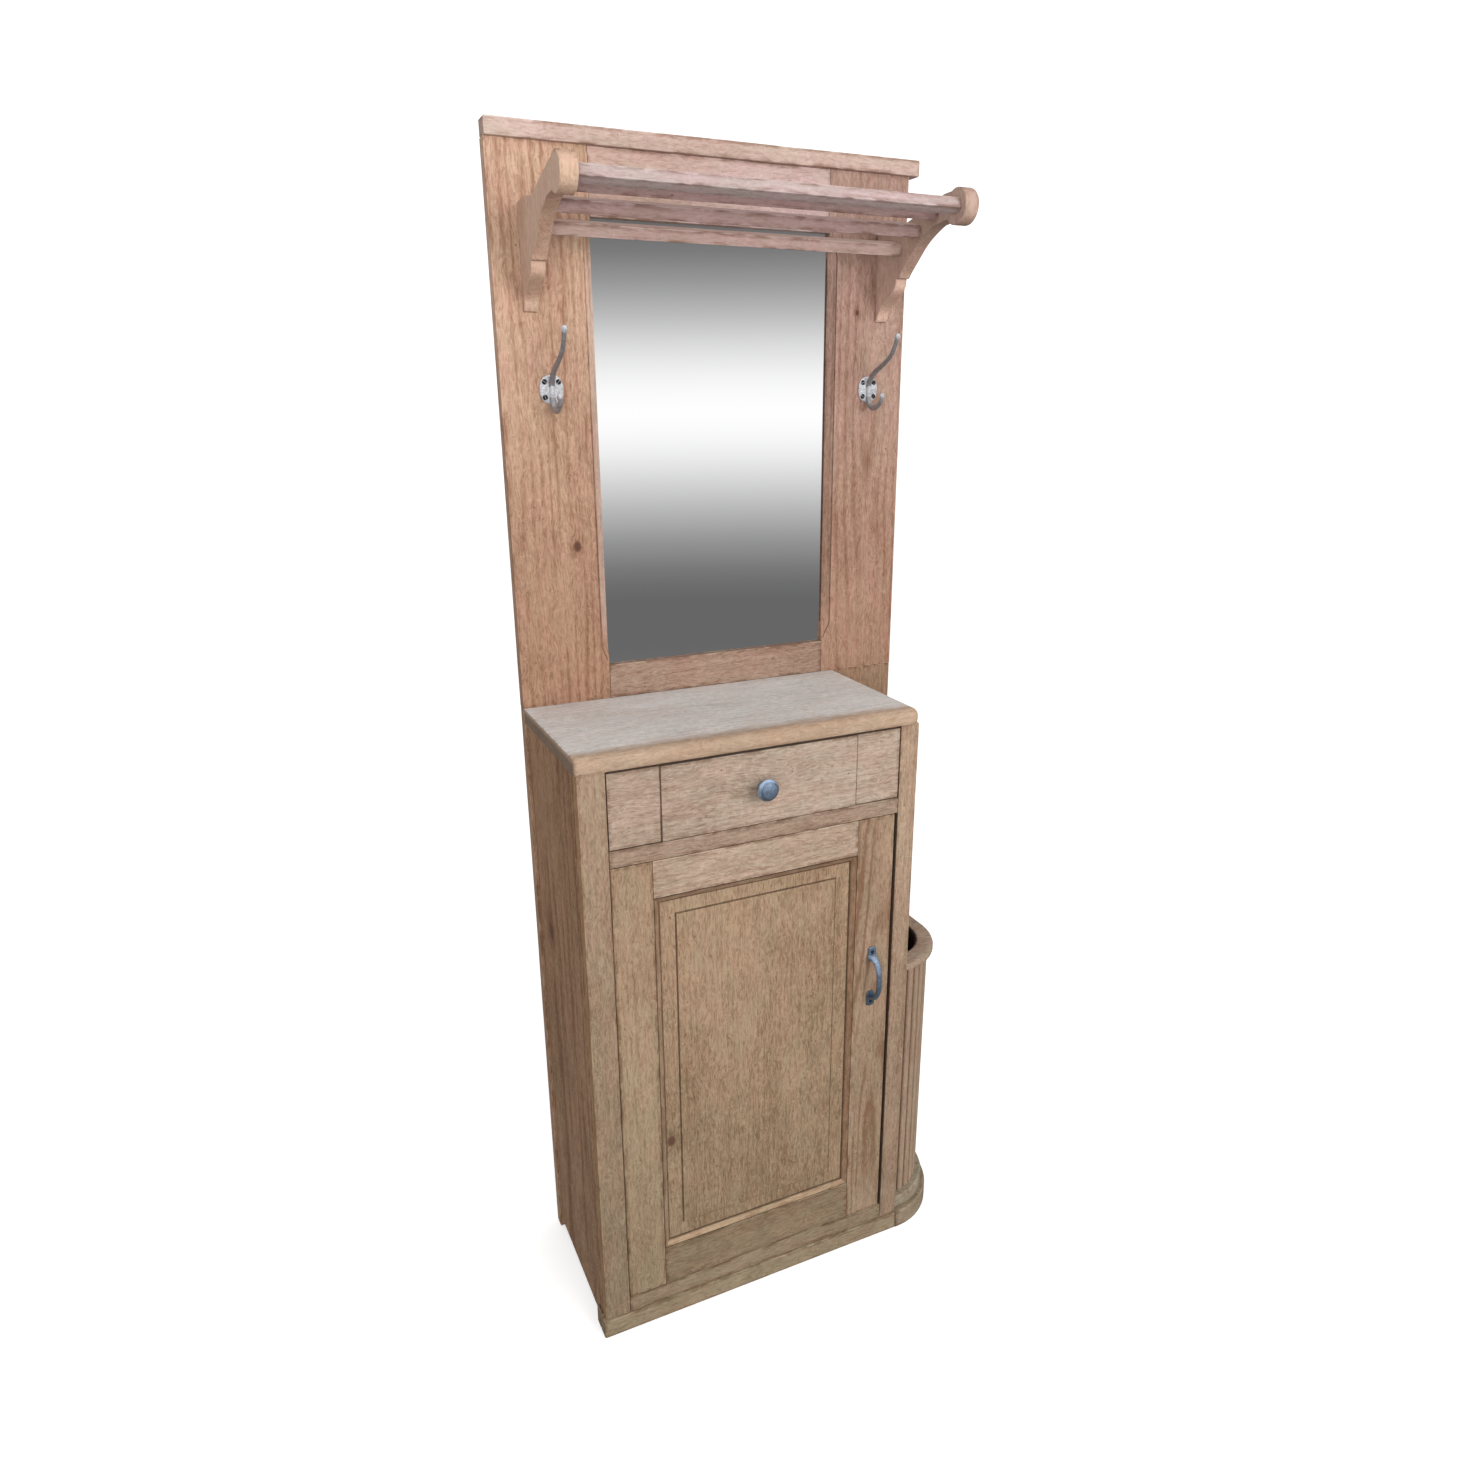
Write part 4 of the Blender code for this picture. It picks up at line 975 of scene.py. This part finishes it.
def door_handle():
    low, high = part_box("door_handle")
    x = (low.x + high.x) / 2
    wall = high.y
    mid = (low.z + high.z) / 2
    half = (high.z - low.z) / 2
    reach = high.y - low.y
    shape = new_casting()
    for sign in (1, -1):
        outline = [(-0.0080, 0.0000), (-0.0085, 0.0060), (-0.0070, 0.0205), (-0.0040, 0.0218)]
        outline += [(0.0040, 0.0222), (0.0078, 0.0200), (0.0085, 0.0060)]
        outline += [(0.0075, -0.0020), (0.0040, -0.0060), (-0.0040, -0.0060)]
        rows = []
        for share, out in ((1.0, 0.0), (1.0, 0.0020), (0.90, 0.0030), (0.5, 0.0032)):
            row = []
            for u, v in outline:
                up = half - 0.0222 + 0.011 + (v - 0.011) * share
                row.append((x + u * share, wall - out, mid + sign * up))
            rows.append(row)
        # Painted highlight and shade: the upper plate lighter, the lower one darker.
        polished(shape, add_loft(shape, rows), 0.45 if sign > 0 else 0.12)
    screw = half - 0.0090
    path = [(-0.0030, screw - 0.0080), (-0.0100, screw - 0.0105), (-0.0190, screw - 0.0170)]
    path += [(0.0048 - reach, 0.0150), (0.0036 - reach, 0.0), (0.0048 - reach, -0.0150)]
    path += [(-0.0190, 0.0170 - screw), (-0.0100, 0.0105 - screw), (-0.0030, 0.0080 - screw)]
    path = [(x, wall + y, mid + up) for y, up in path]
    radii = (0.0038, 0.0038)
    bar = add_bar(shape, path, radii, lambda t: 1.25 + 1.15 * abs(2 * t - 1) ** 2.5, 16, 7)
    polished(shape, bar, 0.35)
    # Painted highlight: the bar lighter towards its top.
    layer = shape.verts.layers.float["polish_and_sheen"]
    for vert in bar:
        vert[layer] = 0.15 + 0.65 * max(0.0, min(1.0, (vert.co.z - mid + 0.01) / 0.045))
    settle(to_object("door_handle_iron", shape), "door_handle")
    for node in ("handle_screw_top", "handle_screw_bottom"):
        low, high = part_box(node)
        place = ((low.x + high.x) / 2, high.y, (low.z + high.z) / 2)
        shape = new_casting()
        head = add_screw_head(shape, place, (high.x - low.x) / 2, high.y - low.y, 0.5)
        polished(shape, head, -0.6)
        settle(to_object(f"{node}_iron", shape), node)


# ---------------------------------------------------------------- cabinet


def counter(**wood):
    """A top with a bullnose along the front and round its right corner."""
    low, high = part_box("counter_top")
    thick = high.z - low.z
    profile = [(0.0045, 0.0), (0.0020, 0.0010), (0.0006, 0.0035), (0.0, 0.0080), (0.0, 0.0140)]
    profile += [(0.0008, 0.0180), (0.0026, 0.0215), (0.0056, 0.0245), (0.0095, 0.0260), (0.0150, thick)]
    deepest = 0.0095
    radius = 0.012
    left_radius = 0.006
    rows = []
    for inset, up in profile:
        side = min(inset, 0.0035)
        left = low.x + side * 0.25
        beyond = max(0.0, inset - deepest)
        round_left = arc((left + left_radius, low.y + left_radius), left_radius, 180, 270, 5)
        round_right = arc((high.x - radius, low.y + radius), radius - min(inset, deepest), -90, 0, 8)
        outline = [(left, high.y)]
        outline += [(x, y + inset) for x, y in round_left]
        outline += [(x, low.y + inset) for x in spread(left + 0.02, round_right[0][0] - 0.01, 0.06)]
        outline += [(x - beyond, y + beyond) for x, y in round_right]
        outline += [(high.x - side, high.y)]
        rows.append([(x, y, low.z + up) for x, y in outline])
    shape = loft(rows)
    soften(shape, 0.0009, 2, 55)
    wobble(shape, 0.0004)
    # Painted shade on the left end, the side turned from the light.
    return wooden("counter_top", shape, "xyz", soot=shade_and_dirt_faces("counter_top", ["x-"], 0.52), **wood)


def stand_plan():
    """The centre of the umbrella stand's rounded corner, and the x of its end at the cabinet."""
    low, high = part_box("umbrella_plinth")
    front_of_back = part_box("upper_left_stile")[0].y
    return Vector((high.x - PLINTH_RADIUS, front_of_back - STAND_LENGTH, 0)), low.x + 0.0003


def stand_line(radius, front, steps):
    """The umbrella stand's plan from the cabinet's side round to the back panel."""
    centre, start_x = stand_plan()
    points = [(start_x, centre.y - front)]
    for step in range(steps + 1):
        turn = math.pi / 2 * step / steps
        points.append((centre.x + radius * math.sin(turn), centre.y - front * math.cos(turn)))
    back_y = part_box("umbrella_plinth")[1].y
    points += [(centre.x + radius, y) for y in spread(centre.y, back_y, 0.04)[1:]]
    return points


def stand_block(node, radius, front, profile, **wood):
    """A solid with the stand's plan; profile is (inset, height)."""
    low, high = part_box(node)
    rows = []
    for inset, up in profile:
        line = stand_line(radius - inset, front - inset, 16)
        rows.append([(x, y, up) for x, y in [*line, (low.x + 0.0003, high.y)]])
    # Darker along its bottom edge at the floor.
    return wooden(node, loft(rows), "xyz", soot=shade_and_dirt_faces(node, ["z-"], 0.9), **wood)


def stand_station(along, radius):
    """The point at this radius, this far along the reeded wall's own line."""
    centre, start_x = stand_plan()
    lead = centre.x - start_x
    bend = WALL_RADIUS * math.pi / 2
    if along <= lead:
        return Vector((start_x + along, centre.y - radius, 0))
    if along < lead + bend:
        turn = (along - lead) / WALL_RADIUS
        return centre + radius * Vector((math.sin(turn), -math.cos(turn), 0))
    return Vector((centre.x + radius, centre.y + along - lead - bend, 0))


def wall_depth(point):
    """How far inside the reeded wall's outer line a point is."""
    centre, start_x = stand_plan()
    aside = point.x - centre.x
    ahead = centre.y - point.y
    if ahead > 0:
        aside = max(0.0, aside)
    return WALL_RADIUS - math.hypot(aside, max(0.0, ahead))


def stand_length():
    """From the cabinet to the back panel along the reeded wall's outer line."""
    centre, start_x = stand_plan()
    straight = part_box("umbrella_shell")[1].y - centre.y
    return centre.x - start_x + WALL_RADIUS * math.pi / 2 + straight


def umbrella_shell():
    """A curved wall of rounded reeds, with painted shade in its grooves and near-black painted shade inside.
    """
    low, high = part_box("umbrella_shell")
    length = stand_length()
    outer = []
    for reed in range(REEDS):
        for part in range(9):
            across = -1 + 2 * part / 9
            drop = 0.0042 * abs(across) ** 3.2
            outer.append(stand_station((reed + 0.5 + across / 2) * length / REEDS, WALL_RADIUS - drop))
    outer.append(stand_station(length, 0.0958))
    inner = [stand_station(length * i / 40, 0.086) for i in range(40, -1, -1)]
    rows = [[(p.x, p.y, z) for p in [*outer, *inner]] for z in spread(low.z, high.z, 0.07)]

    # Painted shade: the deeper a point lies in the reeded wall, the darker, so the grooves darken and the
    # inside goes near black.
    def soot(point):
        return min(1.0, max(0.0, (wall_depth(point) - 0.0012) / 0.0026))

    wooden("umbrella_shell", loft(rows), "zxy", pith=(0.3, 0.1, 0.0), look=(0.4, 0.6, 0.7), soot=soot)


def umbrella_rim():
    """The moulded rim's section is (radius, height above its underside)."""
    low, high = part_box("umbrella_rim")
    length = stand_length()
    section = [(0.0765, 0.0012), (0.0775, 0.0002), (0.1065, 0.0), (0.1090, 0.0012), (0.1100, 0.0040)]
    section += [(0.1100, 0.0110), (0.1085, 0.0148), (0.1050, 0.0168), (0.0990, 0.0170)]
    section += [(0.0830, 0.0170), (0.0790, 0.0160), (0.0768, 0.0135)]
    rows = []
    for i in range(49):
        along = length * i / 48
        rows.append([stand_station(along, radius) + Vector((0, 0, low.z + up)) for radius, up in section])

    # Painted shade: the rim's inner part, over the stand's inside, goes near black.
    def soot(point):
        return float(wall_depth(point) > 0.0200)

    wooden("umbrella_rim", loft(rows), "xyz", look=(0.8, 0.8, 1), soot=soot)


def umbrella_stand():
    umbrella_shell()
    umbrella_rim()
    low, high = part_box("umbrella_base")
    profile = [(0.0008, low.z), (0.0, low.z + 0.001), (0.0, high.z - 0.006)]
    profile += [(0.0012, high.z - 0.0025), (0.0040, high.z)]
    stand_block("umbrella_base", 0.1125, 0.1125, profile, look=(0.5, 1, 1))
    low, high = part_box("umbrella_plinth")
    profile = [(0.0008, low.z), (0.0, low.z + 0.001), (0.0, high.z - 0.0035), (0.0030, high.z)]
    stand_block("umbrella_plinth", PLINTH_RADIUS, 0.123, profile, look=(0.7, 1, 1))


# ---------------------------------------------------------------- drawer and door


def drawer_front(**wood):
    """A thick front whose middle stands proud of its two ends."""
    low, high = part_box("drawer_front")
    left = -0.230
    right = 0.107
    end_y = low.y + 0.0025
    step = 0.0016
    outline = [(low.x, high.y), (low.x, end_y), (left - 0.0018, end_y), (left - 0.0006, end_y + 0.0008)]
    outline += [(left + step, low.y)]
    outline += [(x, low.y) for x in spread(left + 0.03, right - 0.03, 0.06)]
    outline += [(right - step, low.y)]
    outline += [(right + 0.0006, end_y + 0.0008), (right + 0.0018, end_y), (high.x, end_y), (high.x, high.y)]
    top = high.z - 0.0016
    rows = [[(x, y, z) for x, y in outline] for z in spread(low.z, top, 0.03)]
    shape = loft(rows)
    soften(shape, 0.0012, 2, 50)
    wobble(shape, 0.0002)

    # Painted shade in the two steps and round the front's edges, in the gaps.
    def soot(point):
        in_step = left - 0.0008 < point.x < left + step or right - step < point.x < right + 0.0008
        if in_step and point.y > low.y + 0.0008:
            return 0.8
        near = min(point.x - low.x, high.x - point.x, point.z - low.z, top - point.z)
        return (0.8 if point.y < low.y + 0.006 else 0.2) * (near < 0.0005)

    return wooden("drawer_front", shape, "xzy", soot=soot, **wood)


def round_stile(**wood):
    """The door's hung stile, rounded where it turns past the cabinet."""
    low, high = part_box("door_stile_left")
    rounding = arc((low.x + 0.004, low.y + 0.004), 0.004, 180, 270, 6)
    outline = [*rounding, (high.x - 0.0011, low.y), (high.x, low.y + 0.0011)]
    outline += [(high.x, high.y), (low.x, high.y)]
    rows = [[(x, y, z) for x, y in outline] for z in spread(low.z, high.z, 0.06)]
    shape = loft(rows)
    soften(shape, 0.0008, 2, 60)
    wobble(shape, 0.0002)
    return wooden("door_stile_left", shape, "zxy", **wood)


def door_panel(**wood):
    """A panel with a raised field inside a fine quirk."""
    low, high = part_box("door_panel")
    flat = low.y + 0.0022
    insets = [(0.0, high.y), (0.0, flat), (0.0358, flat), (0.0366, flat + 0.0009), (0.0376, flat + 0.0004)]
    insets += [(0.0384, low.y + 0.0003), (0.0392, low.y), (0.060, low.y), (0.110, low.y)]
    rows = []
    for inset, y in insets:
        x0, x1 = low.x + inset, high.x - inset
        z0, z1 = low.z + inset * 0.96, high.z - inset * 0.96
        loop = [(x, y, z0) for x in spread(x0, x1, (x1 - x0) / 6)]
        loop += [(x1, y, z) for z in spread(z0, z1, (z1 - z0) / 12)[1:]]
        loop += [(x, y, z1) for x in spread(x1, x0, (x1 - x0) / 6)[1:]]
        loop += [(x0, y, z) for z in spread(z1, z0, (z1 - z0) / 12)[1:-1]]
        rows.append(loop)
    shape = loft(rows)
    wobble(shape, 0.0003)

    # Painted shade in the quirk round the field.
    def soot(point):
        upright = min(point.z - low.z, high.z - point.z) / 0.96
        inset = min(point.x - low.x, high.x - point.x, upright)
        return 0.72 * (0.0361 < inset < 0.0380)

    return wooden("door_panel", shape, "zxy", soot=soot, **wood)


def beads():
    """Sloping mitred strips round the panel; the section is (in from the frame, behind the door's face)."""
    section = [(0.0, 0.0009), (0.0006, 0.0005), (0.0018, 0.0007), (0.0030, 0.0014), (0.0055, 0.0032)]
    section += [(0.0080, 0.0050), (0.0098, 0.0058), (0.0108, 0.0062), (0.0110, 0.0074), (0.0, 0.0074)]
    low = Vector(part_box("door_bead_left")[0])
    high = Vector(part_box("door_bead_right")[1])
    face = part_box("door_stile_right")[0].y
    for name in ("left", "right", "bottom", "top"):
        upright = name in ("left", "right")
        rows = []
        start, end = (low.z, high.z) if upright else (low.x, high.x)
        for share in (0.0, 0.2, 0.4, 0.6, 0.8, 1.0):
            row = []
            for inset, depth in section:
                run = start + inset + 0.0003 + (end - start - 2 * inset - 0.0006) * share
                y = face + depth
                if name == "left":
                    row.append((low.x + inset, y, run))
                elif name == "right":
                    row.append((high.x - inset, y, run))
                elif name == "bottom":
                    row.append((run, y, low.z + inset))
                else:
                    row.append((run, y, high.z - inset))
            rows.append(row)
        axes = "zxy" if upright else "xzy"
        node = f"door_bead_{name}"

        # Painted shade along both edges of each bead.
        def soot(point):
            upright_inset = point.x - low.x if name == "left" else high.x - point.x
            level_inset = point.z - low.z if name == "bottom" else high.z - point.z
            inset = upright_inset if upright else level_inset
            return 0.8 * (inset < 0.0007 or inset > 0.0097)

        wooden(node, loft(rows), axes, pith=(0.2, 0.05, 0.0), look=(0.5, 0.9, 0.8), soot=soot)


# ---------------------------------------------------------------- assembly


def upper_part():
    stile(
        "upper_left_stile", 1, 0.010, 0.0045, -0.22,
        pith=(0.20, 0.045, 0.0), rings=(0.34, 0.0150), knot=(-0.158, 0.0300, 0.0070), look=(0.8, 0.5, 1.05),
    )
    stile(
        "upper_right_stile", -1, 0.014, 0.0045, 0.30,
        pith=(0.012, -0.030, 0.035), rings=(0.30, 0.0140), knot=(0.202, -0.018, 0.004), look=(0.8, 0.5, 1.0),
    )
    frame_rail(
        "upper_bottom_rail", True,
        pith=(0.10, 0.06, 0.01), look=(1, 1, 1), soot=shade_and_dirt_faces("upper_bottom_rail", ("x-", "x+")),
    )
    frame_rail(
        "upper_top_rail", False,
        pith=(-0.06, 0.05, 0.02), look=(1, 1, 0.7), soot=shade_and_dirt_faces("upper_top_rail", ("x-", "x+")),
    )
    cap(pith=(0.03, -0.06, 0.01), look=(1, 1, 0.65))
    bracket("rack_bracket_left", -1, pith=(0.10, 0.03, 0.2), look=(1, 1, 0.6))
    bracket("rack_bracket_right", 1, pith=(0.10, 0.03, 0.2), look=(1, 1, 0.6))
    slats()
    coat_hook("coat_hook_left", 0.3)
    coat_hook("coat_hook_right", 1.1)


def cabinet():
    plank("lower_back_board", "zxy", 0.0015, pith=(0.05, 0.05, 0.02))
    plank(
        "side_panel_left", "zyx",
        pith=(0.10, 0.05, 0.01), rings=(0.35, 0.029), knot=(0.157, 0.060, 0.013), look=(1, 1, 1.4),
    )
    plank("side_panel_right", "zyx", pith=(0.14, 0.05, 0.01))
    # Painted shade on the stiles' sides that face the gaps beside the drawer and the door.
    plank(
        "front_stile_left", "zxy", 0.0016,
        pith=(0.09, 0.04, 0.01), look=(1, 0.3, 1), soot=shade_and_dirt_faces("front_stile_left", ["x+"], 0.7),
    )
    plank(
        "front_stile_right", "zxy", 0.0016,
        pith=(0.2, 0.04, 0.0), look=(1, 0.6, 1), soot=shade_and_dirt_faces("front_stile_right", ["x-"]),
    )
    plank("drawer_rail", "xzy", pith=(0.08, 0.03, 0.0))
    plank("bottom_rail", "xzy", pith=(0.08, 0.03, 0.0))
    plank("plinth_front", "xzy", 0.0030, pith=(0.07, 0.03, 0.01))
    plank("plinth_return", "yzx", 0.0020)
    counter(pith=(0.05, -0.05, 0.04), look=(0.7, 0.5, 0.8))
    umbrella_stand()


def moving_parts():
    drawer_front(pith=(0.05, 0.05, 0.02), look=(0.8, 0.9, 1))
    knob()
    round_stile(pith=(0.12, 0.03, 0.02), look=(0.8, 1, 1))
    # Painted shade on the right side, in the gap beside the front stile.
    plank(
        "door_stile_right", "zxy",
        pith=(0.02, 0.03, 0.06), rings=(0.50, 0.010), look=(1, 0.8, 1),
        soot=shade_and_dirt_faces("door_stile_right", ["x+"]),
    )
    plank("door_rail_top", "xzy", pith=(0.12, 0.04, 0.03), look=(1, 1, 1))
    plank("door_rail_bottom", "xzy", pith=(0.12, 0.04, 0.03), look=(1, 1, 1))
    door_panel(pith=(0.22, 0.10, 0.01), knot=(-0.123, -0.160, 0.008), look=(0.0, 0.7, 1.25))
    beads()
    door_handle()


def inside():
    plank("cabinet_floor", "xyz")
    for side in ("left", "right"):
        plank(f"drawer_runner_{side}", "yxz")
        plank(f"drawer_side_{side}", "yzx")
    plank("door_stop", "xyz")
    plank("drawer_back", "xzy")
    plank("drawer_bottom", "xyz", 0.0008)
    for node in ("mirror_glass", "mirror_backing", "hinge_pin_top", "hinge_pin_bottom"):
        node_mesh = NODES[node].data
        node_mesh.materials.clear()
        node_mesh.materials.append(MATERIAL[SLOT[node]])


# ---------------------------------------------------------------- floor, light and camera


def floor():
    made, tree, shader = new_material("pale_floor")
    place = tree.node("TexCoord", output="Object")
    cloud = tree.noise(place, (0.7, 0.7, 0.7), 3.0)
    colour = tree.mix(cloud, (0.90, 0.90, 0.90, 1), (0.93, 0.93, 0.93, 1))
    feed(tree, shader, Base_Color=colour)
    shader.inputs["Roughness"].default_value = 0.9
    shader.inputs["Specular IOR Level"].default_value = 0.0
    shader.inputs["Emission Color"].default_value = (1, 1, 1, 1)
    shader.inputs["Emission Strength"].default_value = 0.40
    shape = bmesh.new()
    bmesh.ops.create_grid(shape, x_segments=8, y_segments=8, size=9)
    obj = to_object("studio_floor", shape)
    obj.location = (0, 4, -0.0005)
    obj.data.materials.append(made)
    obj.visible_glossy = False
    obj.visible_diffuse = False


def sky():
    """Even studio light; a mirror or polished iron sees a bright band at eye level that fades to grey."""
    world = bpy.data.worlds.new("studio")
    bpy.context.scene.world = world
    world.use_nodes = True
    tree = Tree(world.node_tree)
    nodes = world.node_tree.nodes
    ray = nodes.new("ShaderNodeLightPath")
    direction = tree.node("TexCoord", output="Generated")
    height = tree.parts(direction)[2]
    band = nodes.new("ShaderNodeValToRGB")
    world.node_tree.links.new(tree.math("MULTIPLY_ADD", height, 0.5, 0.5), band.inputs[0])
    stops = (
        (-0.40, 0.30), (-0.26, 0.16), (-0.222, 0.137), (-0.178, 0.138), (-0.164, 0.160),
        (-0.149, 0.198), (-0.121, 0.318), (-0.0926, 0.50), (-0.0646, 0.71), (-0.051, 0.82), (-0.037, 0.915),
        (-0.023, 0.985), (-0.0095, 1.025), (0.004, 1.015), (0.017, 0.975), (0.031, 0.905), (0.044, 0.815),
        (0.057, 0.715), (0.082, 0.50), (0.107, 0.330), (0.131, 0.210), (0.155, 0.145), (0.20, 0.14),
        (0.45, 0.95), (1.0, 1.05),
    )
    ramp = band.color_ramp
    ramp.elements.remove(ramp.elements[-1])
    ramp.elements[0].position = 0.0
    ramp.elements[0].color = (0.3, 0.3, 0.3, 1)
    for place, level in stops:
        stop = ramp.elements.new(0.5 + 0.5 * place)
        stop.color = (level, level, level, 1)
    soft = tree.ease(height, -0.5, 0.7, 0.30, 0.78)
    even = tree.mix(ray.outputs["Is Camera Ray"], tree.join(soft, soft, soft), (1.2, 1.2, 1.2, 1))
    seen = tree.mix(ray.outputs["Is Glossy Ray"], even, band.outputs[0])
    background = nodes["Background"]
    world.node_tree.links.new(seen, background.inputs["Color"])
    background.inputs["Strength"].default_value = 1.0


def lamp(name, place, aim, size, power, colour):
    data = bpy.data.lights.new(name, "AREA")
    data.shape = "DISK"
    data.size = size
    data.energy = power
    data.color = colour
    obj = bpy.data.objects.new(name, data)
    obj.location = place
    obj.rotation_euler = (Vector(aim) - Vector(place)).to_track_quat("-Z", "Y").to_euler()
    obj.visible_glossy = False
    bpy.context.scene.collection.objects.link(obj)


def camera():
    """The photograph's own camera, found from the cabinet's corners."""
    yaw = math.radians(24.504)
    pitch = math.radians(17.605)
    roll = math.radians(-0.4766)
    forward = Vector((math.sin(yaw) * math.cos(pitch), math.cos(yaw) * math.cos(pitch), -math.sin(pitch)))
    level = Vector((math.cos(yaw), -math.sin(yaw), 0))
    upright = level.cross(forward)
    right = level * math.cos(roll) + upright * math.sin(roll)
    up = right.cross(forward)
    data = bpy.data.cameras.new("photo_camera")
    data.sensor_width = 36
    data.lens = 36 * 1012.365 / 1457
    data.clip_start = 0.05
    data.clip_end = 60
    obj = bpy.data.objects.new("photo_camera", data)
    turn = Matrix((right, up, -forward)).transposed().to_4x4()
    obj.matrix_world = Matrix.Translation((-0.7146, -1.4388, 1.5142)) @ turn
    bpy.context.scene.collection.objects.link(obj)
    bpy.context.scene.camera = obj
    bpy.context.scene.view_settings.view_transform = "Standard"


upper_part()
cabinet()
moving_parts()
inside()
floor()
sky()
lamp("key", (1.3, -3.4, 2.2), (0, 0, 1.1), 2.8, 92, (1.0, 0.985, 0.97))
lamp("fill", (-2.0, -3.3, 1.1), (0, 0, 1.3), 2.6, 66, (0.98, 0.99, 1.0))
camera()
